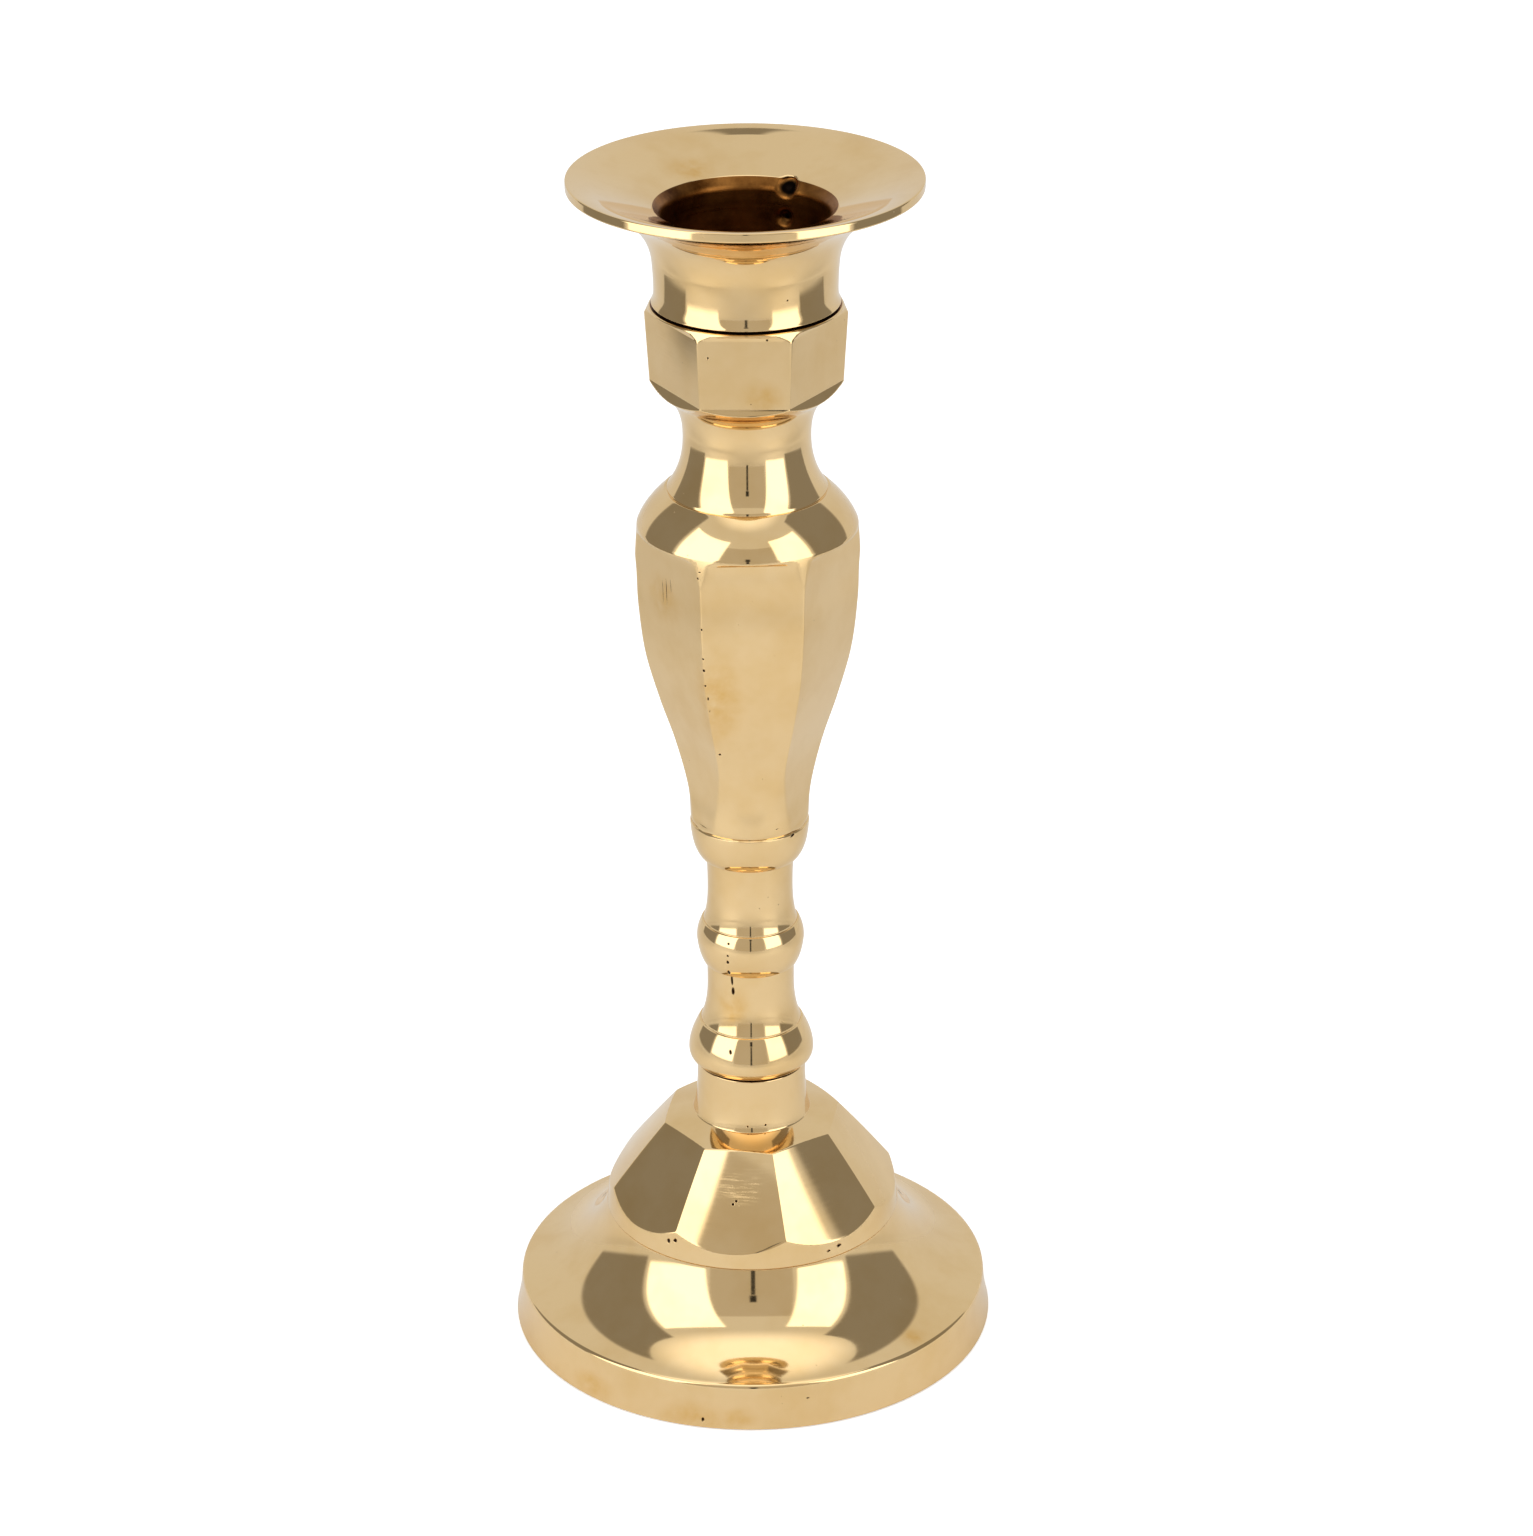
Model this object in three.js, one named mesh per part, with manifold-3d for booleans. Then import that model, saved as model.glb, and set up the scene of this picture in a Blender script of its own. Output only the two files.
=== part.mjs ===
// Brass candlestick: a drip-pan cup, a faceted baluster stem and a domed base, screwed together.
// Millimetres, +Z up. The origin is the middle of the foot, on the surface that it stands on.

import * as THREE from 'three';
import { mergeVertices } from 'three/addons/utils/BufferGeometryUtils.js';
import Module from 'manifold-3d';

const wasm = await Module();
wasm.setup();

// ---- driving dimensions: heights are measured from the underside of the foot ----

const GAP = 0.3; // clearance between neighbouring pieces

const PAN_EDGE = { radius: 24.0, height: 174.0, depth: 1.3 }; // the upright edge of the drip pan
const THROAT = { radius: 12.35, height: 169.9 }; // where the pan turns down into the socket
const SOCKET_MOUTH = { radius: 11.3, height: 168.9 };
const SOCKET_FLOOR = { radius: 10.95, height: 158.4 };
const CUP_WAIST = { radius: 12.48, top: 162.6, bottom: 156.6, bottomRadius: 12.85 };
const CUP_SPIGOT = { radius: 6.0, length: 8.5 }; // threaded, screws into the collar

const COLLAR_TOP = CUP_WAIST.bottom - GAP;
const COLLAR_LIP_RADIUS = 13.1;
const COLLAR_CORNERS = [[13.25, 145.3], [13.85, 155.2]]; // radius of its six corners, and height
const COLLAR_UNDERSIDE = { radius: 10.6, height: 143.2 };
const COLLAR_TURN = THREE.MathUtils.degToRad(-1.3);

const NECK_WAIST = { radius: 8.78, height: 137.4 };
const NECK_LINE = { radius: 11.4, height: 129.8 }; // turned line between neck and shoulder
const SHOULDER_EDGE = { radius: 15.25, height: 124.8 };
const BALUSTER_CORNERS = [ // radius of its six corners, and height
	[8.35, 80], [8.6, 85], [10.0, 91], [12.5, 98.4], [14.4, 105.5], [15.3, 113], [15.5, 121.8],
];
const BALUSTER_FOOT = { radius: 8.25, height: 77.6 };
const BALUSTER_TURN = THREE.MathUtils.degToRad(2.5);
const FOOT_STEP = { radius: 7.05, height: 74.3, depth: 0.25 };
const UPPER_WAIST = { radius: 6.07, height: 69.2 };
const SMALL_BEAD = { radius: 7.68, height: 61.4, edge: 6.8, bottom: 58.1, top: 64.6 };
const LOWER_WAIST = { radius: 6.22, height: 54.0 };
const LARGE_BEAD = { radius: 9.0, height: 43.3, edge: 7.4, bottom: 41.5, top: 47.8 };
const STEM_REGISTER = { radius: 5.0, length: 2.3 }; // centres the stem in the base

const FOOT = { radius: 35.0, ringWidth: 2.6 }; // only its outer ring touches the table
const DISH_EDGE = { radius: 34.05, height: 6.65 };
const DOME_RING = { radius: 21.3, height: 18.2 };
const BAND_TOP = { radius: 20.6, height: 23.6 };
const DOME_FACETS = 8;
const FACET_TOP = { distance: 11.7, height: 32.4 };
const FACET_BOTTOM = { distance: 20.9, height: 20.8 };
const DOME_TURN = THREE.MathUtils.degToRad(-9.2);
const BASE_NECK = { radius: 7.8, footRadius: 8.5, footHeight: 33.3, top: LARGE_BEAD.bottom - GAP };
const HOLLOW_CEILING = { radius: 11.5, height: 27.5 }; // flat, for the washer

const STUD = { radius: 3.0, bottom: 15.5, top: 54.0 }; // M6
const WASHER = { radius: 8.0, thickness: 1.6 };
const SPRING_WASHER = { radius: 5.9, thickness: 1.5, slit: THREE.MathUtils.degToRad(12) };
const NUT = { acrossFlats: 10.0, height: 5.0 };

const ROUND_SEGMENTS = 40; // sides of a turned surface
const SMALL_SEGMENTS = 20; // sides of a stud, a hole or a washer
const CURVE_STEPS = 4; // straight steps that stand for one curve of an outline
const BLANK_ALLOWANCE = 0.35; // the turned blank is this much wider than the corners ground on it
const WIDE = 200; // further than any piece reaches

// A hexagon's front and back flats are ground a little narrower than its four side flats.
const HALF_FRONT = THREE.MathUtils.degToRad(27);
const HALF_SIDE = (Math.PI - 2 * HALF_FRONT) / 4;
const HEXAGON_FLATS = [0, Math.PI].flatMap((face) => [
	{ azimuth: face, half: HALF_FRONT },
	{ azimuth: face + HALF_FRONT + HALF_SIDE, half: HALF_SIDE },
	{ azimuth: face - HALF_FRONT - HALF_SIDE, half: HALF_SIDE },
]);

// ---- materials ----

const polishedBrass = () => new THREE.MeshStandardMaterial({ color: 0xd9b271, roughness: 0.12, metalness: 1 });
const zincedSteel = () => new THREE.MeshStandardMaterial({ color: 0xb9b9b4, roughness: 0.35, metalness: 1 });

// ---- from an outline to a solid ----

// A turned solid about Z. Its outline, radius and height, runs upwards on the outside.
function turned(outline, segments = ROUND_SEGMENTS) {

	return new THREE.LatheGeometry(outline, segments).rotateX(Math.PI / 2);

}

function points(pairs) {

	return pairs.map(([x, y]) => new THREE.Vector2(x, y));

}

function cylinder(radius, bottom, top) {

	return turned(points([[0, bottom], [radius, bottom], [radius, top], [0, top]]), SMALL_SEGMENTS);

}

// A geometry as a solid that can be joined and cut.
function solidOf(geometry) {

	const bare = geometry.clone();
	bare.deleteAttribute('normal');
	bare.deleteAttribute('uv');
	const merged = mergeVertices(bare, 1e-5);
	const corners = merged.index.array;
	const triangles = [];
	for (let i = 0; i < corners.length; i += 3) {

		const [a, b, c] = corners.slice(i, i + 3);
		if (a !== b && b !== c && c !== a) triangles.push(a, b, c); // drops the slivers on the axis

	}

	return new wasm.Manifold(new wasm.Mesh({
		numProp: 3,
		vertProperties: new Float32Array(merged.attributes.position.array),
		triVerts: new Uint32Array(triangles),
	}));

}

function geometryOf(solid) {

	const mesh = solid.getMesh();
	const geometry = new THREE.BufferGeometry();
	geometry.setAttribute('position', new THREE.BufferAttribute(mesh.vertProperties, 3));
	geometry.setIndex(new THREE.BufferAttribute(mesh.triVerts, 1));
	geometry.computeVertexNormals();
	return geometry;

}

function named(name, geometry, material) {

	const mesh = new THREE.Mesh(geometry, material);
	mesh.name = name;
	return mesh;

}

// Grinds one flat: keeps what lies behind a face whose distance from the axis follows an outline
// of distance and height, between the outline's two ends. Azimuth 0 faces -Y.
function groundFlat(solid, outline, azimuth) {

	const low = outline[0].y;
	const high = outline[outline.length - 1].y;
	const kept = new THREE.Shape([
		...points([[-WIDE, low - WIDE], [WIDE, low - WIDE], [WIDE, low]]),
		...outline,
		...points([[WIDE, high], [WIDE, high + WIDE], [-WIDE, high + WIDE]]),
	]);
	const block = new THREE.ExtrudeGeometry(kept, { depth: 2 * WIDE, bevelEnabled: false });
	block.translate(0, 0, -WIDE).rotateX(Math.PI / 2).rotateZ(azimuth - Math.PI / 2);
	return solid.intersect(solidOf(block));

}

// Grinds a hexagon whose corners follow an outline. The wheel runs in and out of the metal at the
// given distances and heights.
function groundHexagon(solid, corners, runIn, runOut, turn) {

	return HEXAGON_FLATS.reduce((cut, flat) => {

		const face = corners.map((p) => new THREE.Vector2(p.x * Math.cos(flat.half), p.y));
		return groundFlat(cut, [...points([runIn]), ...face, ...points([runOut])], flat.azimuth + turn);

	}, solid);

}

// ---- the cup: drip pan and candle socket in one casting ----

function candleCup() {

	const spigotEnd = CUP_WAIST.bottom - CUP_SPIGOT.length;
	const underside = PAN_EDGE.height - PAN_EDGE.depth;
	const outline = new THREE.Path();
	outline.moveTo(0, spigotEnd);
	outline.lineTo(CUP_SPIGOT.radius, spigotEnd);
	outline.lineTo(CUP_SPIGOT.radius, CUP_WAIST.bottom);
	outline.lineTo(CUP_WAIST.bottomRadius, CUP_WAIST.bottom);
	outline.quadraticCurveTo(CUP_WAIST.radius, 157.8, CUP_WAIST.radius, 159.6);
	outline.lineTo(CUP_WAIST.radius, CUP_WAIST.top);
	outline.bezierCurveTo(12.8, 166.5, 15.5, 170.0, PAN_EDGE.radius, underside);
	outline.lineTo(PAN_EDGE.radius, PAN_EDGE.height);
	outline.bezierCurveTo(19.8, 173.1, 14.3, 171.8, THROAT.radius, THROAT.height);
	outline.lineTo(SOCKET_MOUTH.radius, SOCKET_MOUTH.height);
	outline.lineTo(SOCKET_FLOOR.radius, SOCKET_FLOOR.height);
	outline.lineTo(0, SOCKET_FLOOR.height);
	return named('candle_cup', geometryOf(solidOf(turned(outline.getPoints(CURVE_STEPS)))), polishedBrass());

}

// ---- the stem: hexagonal collar, neck, baluster and beads in one casting ----

function stem() {

	const registerEnd = LARGE_BEAD.bottom - STEM_REGISTER.length;
	const balusterCorners = new THREE.SplineCurve(points(BALUSTER_CORNERS)).getPoints(2 * BALUSTER_CORNERS.length);
	const [collarLow, collarHigh] = points(COLLAR_CORNERS);
	const outline = new THREE.Path();
	outline.moveTo(0, registerEnd);
	outline.lineTo(STEM_REGISTER.radius, registerEnd);
	outline.lineTo(STEM_REGISTER.radius, LARGE_BEAD.bottom);
	outline.lineTo(LARGE_BEAD.edge + 0.4, LARGE_BEAD.bottom);
	outline.quadraticCurveTo(LARGE_BEAD.radius, 41.9, LARGE_BEAD.radius, LARGE_BEAD.height);
	outline.quadraticCurveTo(8.95, 45.0, LARGE_BEAD.edge, LARGE_BEAD.top);
	outline.bezierCurveTo(6.7, 49.4, LOWER_WAIST.radius, 51.6, LOWER_WAIST.radius, LOWER_WAIST.height);
	outline.quadraticCurveTo(LOWER_WAIST.radius, 56.2, SMALL_BEAD.edge, SMALL_BEAD.bottom);
	outline.quadraticCurveTo(7.5, 59.5, SMALL_BEAD.radius, SMALL_BEAD.height);
	outline.quadraticCurveTo(7.6, 63.2, SMALL_BEAD.edge, SMALL_BEAD.top);
	outline.bezierCurveTo(6.3, 65.6, UPPER_WAIST.radius, 67.2, UPPER_WAIST.radius, UPPER_WAIST.height);
	outline.bezierCurveTo(UPPER_WAIST.radius, 71.5, 6.3, 73.0, FOOT_STEP.radius - FOOT_STEP.depth, FOOT_STEP.height);
	outline.lineTo(FOOT_STEP.radius, FOOT_STEP.height);
	outline.quadraticCurveTo(7.95, 75.5, BALUSTER_FOOT.radius, BALUSTER_FOOT.height);
	balusterCorners.forEach((p) => outline.lineTo(p.x + BLANK_ALLOWANCE, p.y));
	outline.lineTo(SHOULDER_EDGE.radius, SHOULDER_EDGE.height);
	outline.quadraticCurveTo(14.3, 127.3, NECK_LINE.radius, NECK_LINE.height);
	outline.bezierCurveTo(9.9, 131.6, NECK_WAIST.radius, 134.2, NECK_WAIST.radius, NECK_WAIST.height);
	outline.bezierCurveTo(NECK_WAIST.radius, 139.8, 9.2, 141.7, COLLAR_UNDERSIDE.radius, COLLAR_UNDERSIDE.height);
	outline.lineTo(collarLow.x + BLANK_ALLOWANCE, collarLow.y);
	outline.lineTo(collarHigh.x + BLANK_ALLOWANCE, collarHigh.y);
	outline.lineTo(COLLAR_LIP_RADIUS, COLLAR_TOP);
	outline.lineTo(0, COLLAR_TOP);

	const blank = solidOf(turned(outline.getPoints(CURVE_STEPS)));
	const withCollar = groundHexagon(blank, [collarLow, collarHigh], [collarLow.x + 1, collarLow.y - 1.5],
		[collarHigh.x, collarHigh.y + 0.9], COLLAR_TURN);
	const ground = groundHexagon(withCollar, balusterCorners, [BALUSTER_FOOT.radius + 0.3, BALUSTER_FOOT.height],
		[SHOULDER_EDGE.radius + 0.8, SHOULDER_EDGE.height - 0.9], BALUSTER_TURN);
	const spigotHole = cylinder(CUP_SPIGOT.radius + GAP, COLLAR_TOP - CUP_SPIGOT.length - GAP, WIDE + COLLAR_TOP);
	const studHole = cylinder(STUD.radius + GAP, STUD.bottom, STUD.top + GAP);
	return named('stem', geometryOf(ground.subtract(solidOf(spigotHole)).subtract(solidOf(studHole))), polishedBrass());

}

// ---- the base: a hollow casting with an eight-sided dome over a round dish ----

function base() {

	const outline = new THREE.Path();
	outline.moveTo(FOOT.radius - FOOT.ringWidth, 0);
	outline.lineTo(FOOT.radius, 0);
	outline.quadraticCurveTo(34.2, 3.0, DISH_EDGE.radius, DISH_EDGE.height);
	outline.bezierCurveTo(27.5, 8.3, 23.2, 11.7, DOME_RING.radius - 0.1, DOME_RING.height - 0.2);
	outline.lineTo(DOME_RING.radius, DOME_RING.height);
	outline.lineTo(BAND_TOP.radius, BAND_TOP.height);
	outline.lineTo(FACET_TOP.distance + 2.5, FACET_TOP.height - 0.7); // outside the facets that are ground below
	outline.lineTo(BASE_NECK.footRadius, BASE_NECK.footHeight);
	outline.quadraticCurveTo(BASE_NECK.radius, 35.5, BASE_NECK.radius, BASE_NECK.top - 1);
	outline.lineTo(BASE_NECK.radius, BASE_NECK.top);
	outline.lineTo(STUD.radius + GAP, BASE_NECK.top);
	outline.lineTo(STUD.radius + GAP, HOLLOW_CEILING.height);
	outline.lineTo(HOLLOW_CEILING.radius, HOLLOW_CEILING.height);
	outline.lineTo(18.4, 19.5);
	outline.lineTo(18.8, 17.5);
	outline.bezierCurveTo(19.6, 9.2, 26.0, 6.2, 31.9, 4.4);
	outline.lineTo(FOOT.radius - FOOT.ringWidth, 0);

	const slope = (FACET_TOP.distance - FACET_BOTTOM.distance) / (FACET_TOP.height - FACET_BOTTOM.height);
	const facetAt = (height) => new THREE.Vector2(FACET_TOP.distance + slope * (height - FACET_TOP.height), height);
	const facet = [facetAt(DOME_RING.height), facetAt(BASE_NECK.footHeight)];
	let ground = solidOf(turned(outline.getPoints(CURVE_STEPS)));
	for (let i = 0; i < DOME_FACETS; i ++) {

		ground = groundFlat(ground, facet, DOME_TURN + i * 2 * Math.PI / DOME_FACETS);

	}

	const recess = cylinder(STEM_REGISTER.radius + GAP, BASE_NECK.top - STEM_REGISTER.length, BASE_NECK.top + 1);
	return named('base', geometryOf(ground.subtract(solidOf(recess))), polishedBrass());

}

// ---- the fixing under the base ----

function fixings() {

	const bore = STUD.radius + GAP;
	const stud = named('stem_stud', cylinder(STUD.radius, STUD.bottom, STUD.top), zincedSteel());

	const washerOutline = points([[bore, 0], [WASHER.radius, 0], [WASHER.radius, WASHER.thickness],
		[bore, WASHER.thickness], [bore, 0]]);
	const washer = named('plain_washer', turned(washerOutline, SMALL_SEGMENTS), zincedSteel());
	washer.position.z = HOLLOW_CEILING.height - GAP - WASHER.thickness;

	const split = new THREE.Shape();
	split.absarc(0, 0, SPRING_WASHER.radius, 0, 2 * Math.PI - SPRING_WASHER.slit, false);
	split.absarc(0, 0, bore, 2 * Math.PI - SPRING_WASHER.slit, 0, true);
	const springWasher = named('spring_washer', new THREE.ExtrudeGeometry(split,
		{ depth: SPRING_WASHER.thickness, bevelEnabled: false, curveSegments: SMALL_SEGMENTS }), zincedSteel());
	springWasher.position.z = washer.position.z - GAP - SPRING_WASHER.thickness;

	const hexagon = new THREE.Shape([0, 1, 2, 3, 4, 5].map((i) => new THREE.Vector2(
		NUT.acrossFlats / Math.sqrt(3), 0).rotateAround(new THREE.Vector2(), i * Math.PI / 3)));
	hexagon.holes.push(new THREE.Path().absarc(0, 0, bore, 0, 2 * Math.PI, true));
	const nut = named('hex_nut', new THREE.ExtrudeGeometry(hexagon,
		{ depth: NUT.height, bevelEnabled: false, curveSegments: SMALL_SEGMENTS / 2 }), zincedSteel());
	nut.position.z = springWasher.position.z - GAP - NUT.height;

	return [stud, washer, springWasher, nut];

}

const candlestick = new THREE.Group();
candlestick.add(candleCup(), stem(), base(), ...fixings());

export default candlestick;
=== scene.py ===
"""A brass candlestick of three screwed castings, dressed for a studio shelf.

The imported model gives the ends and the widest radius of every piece. Each casting is turned from
an outline, ground with its flats and buffed; the fixing under the base keeps its threads and its
split washer. Lengths in the classes are millimetres, heights are above the table, and Blender gets
metres.
"""

from __future__ import annotations

import logging
import math
from dataclasses import dataclass, field
from enum import Enum

import bpy
from mathutils import Matrix, Vector

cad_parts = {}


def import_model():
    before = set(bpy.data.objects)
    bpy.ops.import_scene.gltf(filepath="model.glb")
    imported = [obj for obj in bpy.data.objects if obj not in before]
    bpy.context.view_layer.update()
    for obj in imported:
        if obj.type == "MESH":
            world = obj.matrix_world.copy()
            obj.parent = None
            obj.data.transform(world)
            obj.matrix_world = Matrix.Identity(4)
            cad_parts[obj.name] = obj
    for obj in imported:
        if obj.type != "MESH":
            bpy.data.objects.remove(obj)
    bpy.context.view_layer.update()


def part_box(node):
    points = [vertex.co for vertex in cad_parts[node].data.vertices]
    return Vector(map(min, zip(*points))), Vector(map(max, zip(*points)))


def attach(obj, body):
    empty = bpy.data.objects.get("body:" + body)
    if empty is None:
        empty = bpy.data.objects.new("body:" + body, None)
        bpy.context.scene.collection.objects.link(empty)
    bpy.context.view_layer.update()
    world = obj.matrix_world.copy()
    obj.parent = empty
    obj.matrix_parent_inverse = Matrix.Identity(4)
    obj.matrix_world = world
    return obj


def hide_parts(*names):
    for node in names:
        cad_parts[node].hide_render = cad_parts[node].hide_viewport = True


LOG = logging.getLogger("candlestick")

MM = 0.001  # one millimetre in Blender's metres
NO_FLAT = 500.0  # a corner radius so wide that no flat touches the metal
WELD = 0.000001  # metres; points nearer than this are one: closes the seam and the poles
GAP = 0.3  # mm left free between a piece and what is screwed into it
LEAST_SLANT = 0.08  # keeps a flat finite on the side of the piece that faces away from it
LEAST_BULGE = 0.5  # keeps a crowned flat from turning inside out there
STATION_SIZES = ("radius", "height", "corner", "turn", "thread", "zone")

Point = tuple[float, float]
Colour = tuple[float, float, float, float]


# ------------------------------------------------------------------------------------------
# small shared tools
# ------------------------------------------------------------------------------------------


def linear(hex_code: str) -> Colour:
    """Turns an sRGB hex code such as "E9CEA2" into a linear colour with full alpha.

    Args:
        hex_code: six hex digits, red first.

    Returns:
        Linear red, green, blue and an alpha of one.
    """
    channels = [int(hex_code[i : i + 2], 16) / 255.0 for i in (0, 2, 4)]
    r, g, b = [c / 12.92 if c <= 0.04045 else ((c + 0.055) / 1.055) ** 2.4 for c in channels]
    return (r, g, b, 1.0)


def grey(level: float) -> Colour:
    """Gives a linear grey of one level; above one it is a light."""
    return (level, level, level, 1.0)


def add_node(
    tree: bpy.types.NodeTree,
    kind: str,
    feeds: dict[int | str, object] | None = None,
    **settings: object,
) -> bpy.types.Node:
    """Adds one node to a tree, sets its options and feeds its inputs.

    Args:
        tree: the shader or geometry tree.
        kind: the node's type name.
        feeds: value or output socket for each input, by its index or name.
        **settings: the node's own options, such as operation="ADD".

    Returns:
        The new node.
    """
    node = tree.nodes.new(kind)
    for name, value in settings.items():
        setattr(node, name, value)
    for key, value in (feeds or {}).items():
        socket = node.inputs[key]
        if isinstance(value, bpy.types.NodeSocket):
            tree.links.new(value, socket)
        else:
            socket.default_value = value
    return node


def add_object(name: str, data: bpy.types.ID) -> bpy.types.Object:
    """Adds an object that carries a mesh or a camera to the scene.

    Args:
        name: the object's name.
        data: the mesh or camera.

    Returns:
        The new object.
    """
    thing = bpy.data.objects.new(name, data)
    bpy.context.scene.collection.objects.link(thing)
    return thing


def on_axis(azimuth: float, radius: float, height: float) -> Vector:
    """Gives the place of a point on the object, in millimetres.

    Args:
        azimuth: degrees round the stem, 0 to the front and positive to the right.
        radius: distance from the axis.
        height: distance above the table.

    Returns:
        The point in the part's own axes.
    """
    turn = math.radians(azimuth)
    return Vector((radius * math.sin(turn), -radius * math.cos(turn), height))


def along(stops: list[Point], height: float) -> float:
    """Reads a value between stops of height and value, and NO_FLAT outside them."""
    if height < stops[0][0] or height > stops[-1][0]:
        return NO_FLAT
    for (low, below), (high, above) in zip(stops, stops[1:]):
        if height <= high:
            return below + (above - below) * (height - low) / (high - low)
    return stops[-1][1]


# ------------------------------------------------------------------------------------------
# outlines
# ------------------------------------------------------------------------------------------


class Zone(Enum):
    """How a stretch of a casting was finished."""

    BUFFED = 0
    BORED = 1
    AS_CAST = 2


@dataclass
class Station:
    """One ring of a turned surface, in millimetres, with what the grinding wheel leaves there."""

    radius: float
    height: float
    zone: Zone
    corner: float = NO_FLAT
    turn: float = 0.0
    thread: float = 0.0


@dataclass
class Stroke:
    """One smooth stretch of an outline and how far its first corner is eased."""

    points: list[Point]
    zone: Zone
    ease: float


class Outline:
    """The half section of a turned piece, drawn upwards on the outside and downwards inside."""

    def __init__(self, radius: float, height: float, pitch: float = 0.35) -> None:
        """Starts the outline.

        Args:
            radius: where the pen starts.
            height: where the pen starts.
            pitch: the longest step between rings.
        """
        self.pen: Point = (radius, height)
        self.pitch = pitch
        self.zone = Zone.BUFFED
        self.strokes: list[Stroke] = []

    def to(self, *controls: Point, ease: float = 0.1, pitch: float | None = None) -> Outline:
        """Draws a line, a quadratic or a cubic to the last control.

        Args:
            *controls: one, two or three points of radius and height.
            ease: how far from its first point the corner is softened.
            pitch: the longest step between rings, where it differs from the outline's.

        Returns:
            The outline itself.
        """
        hull = [self.pen, *controls]
        length = sum(math.dist(a, b) for a, b in zip(hull, hull[1:]))
        steps = max(2 if len(controls) == 1 else 6, math.ceil(length / (pitch or self.pitch)))
        points = [self._bezier(hull, i / steps) for i in range(steps + 1)]
        self.strokes.append(Stroke(points, self.zone, ease))
        self.pen = controls[-1]
        return self

    def through(self, points: list[Point], ease: float = 0.1) -> Outline:
        """Draws one smooth curve through several points.

        Args:
            points: radius and height of each.
            ease: how far from its first point the corner is softened.

        Returns:
            The outline itself.
        """
        knots = [self.pen, *points]
        curve = [knots[0]]
        for i in range(len(knots) - 1):
            a, b, c = knots[max(i - 1, 0)], knots[i], knots[i + 1]
            d = knots[min(i + 2, len(knots) - 1)]
            steps = max(2, math.ceil(math.dist(b, c) / self.pitch))
            curve += [self._spline(a, b, c, d, k / steps) for k in range(1, steps + 1)]
        self.strokes.append(Stroke(curve, self.zone, ease))
        self.pen = points[-1]
        return self

    def turn_to(self, zone: Zone) -> Outline:
        """Changes the finish of what is drawn next."""
        self.zone = zone
        return self

    def stations(self) -> list[Station]:
        """Gives the rings of the whole outline, with every corner eased."""
        rings: list[Station] = []
        for i, stroke in enumerate(self.strokes):
            points = stroke.points
            if i:
                before = self.strokes[i - 1].points
                spans = (math.dist(line[0], line[-1]) for line in (before, points))
                cut = min(stroke.ease, 0.45 * min(spans))
                tail = self._cut(list(reversed(before)), cut)[0]
                head, points = self._cut(points, cut)
                corner = stroke.points[0]
                near = cut * 1.01
                while rings and math.dist((rings[-1].radius, rings[-1].height), corner) < near:
                    rings.pop()
                bend = [self._bezier([tail, corner, head], k / 4) for k in range(5)]
                for k, (r, z) in enumerate(bend):
                    rings.append(Station(r, z, self.strokes[i - 1 if k < 2 else i].zone))
                points = points[1:]
            rings += [Station(r, z, stroke.zone) for r, z in points]
        return rings

    @staticmethod
    def _cut(points: list[Point], length: float) -> tuple[Point, list[Point]]:
        """Cuts a length off the start of a polyline and gives the new start and what remains."""
        for i, (a, b) in enumerate(zip(points, points[1:])):
            step = math.dist(a, b)
            if length < step:
                share = length / step
                start = (a[0] + (b[0] - a[0]) * share, a[1] + (b[1] - a[1]) * share)
                return start, [start, *points[i + 1 :]]
            length -= step
        return points[-1], [points[-1]]

    @staticmethod
    def _bezier(hull: list[Point], share: float) -> Point:
        """Gives the point of a Bezier curve by repeated halfway lines."""
        while len(hull) > 1:
            hull = [
                (a[0] + (b[0] - a[0]) * share, a[1] + (b[1] - a[1]) * share)
                for a, b in zip(hull, hull[1:])
            ]
        return hull[0]

    @staticmethod
    def _spline(a: Point, b: Point, c: Point, d: Point, t: float) -> Point:
        """Gives the point of a Catmull-Rom curve between b and c."""
        weights = (
            (-t + 2 * t * t - t * t * t) / 2,
            (2 - 5 * t * t + 3 * t * t * t) / 2,
            (t + 4 * t * t - 3 * t * t * t) / 2,
            (-t * t + t * t * t) / 2,
        )
        return tuple(sum(w * p[axis] for w, p in zip(weights, (a, b, c, d))) for axis in (0, 1))


# ------------------------------------------------------------------------------------------
# finishes
# ------------------------------------------------------------------------------------------


@dataclass(frozen=True)
class Flaw:
    """A mark left by casting or wear: a pit, a crack or a stain, at its place on the object; one
    stain on the cup is a painted reflection.
    """

    azimuth: float
    radius: float
    height: float
    size: float
    tall: float = 1.0
    lean: float = 0.0


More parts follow.
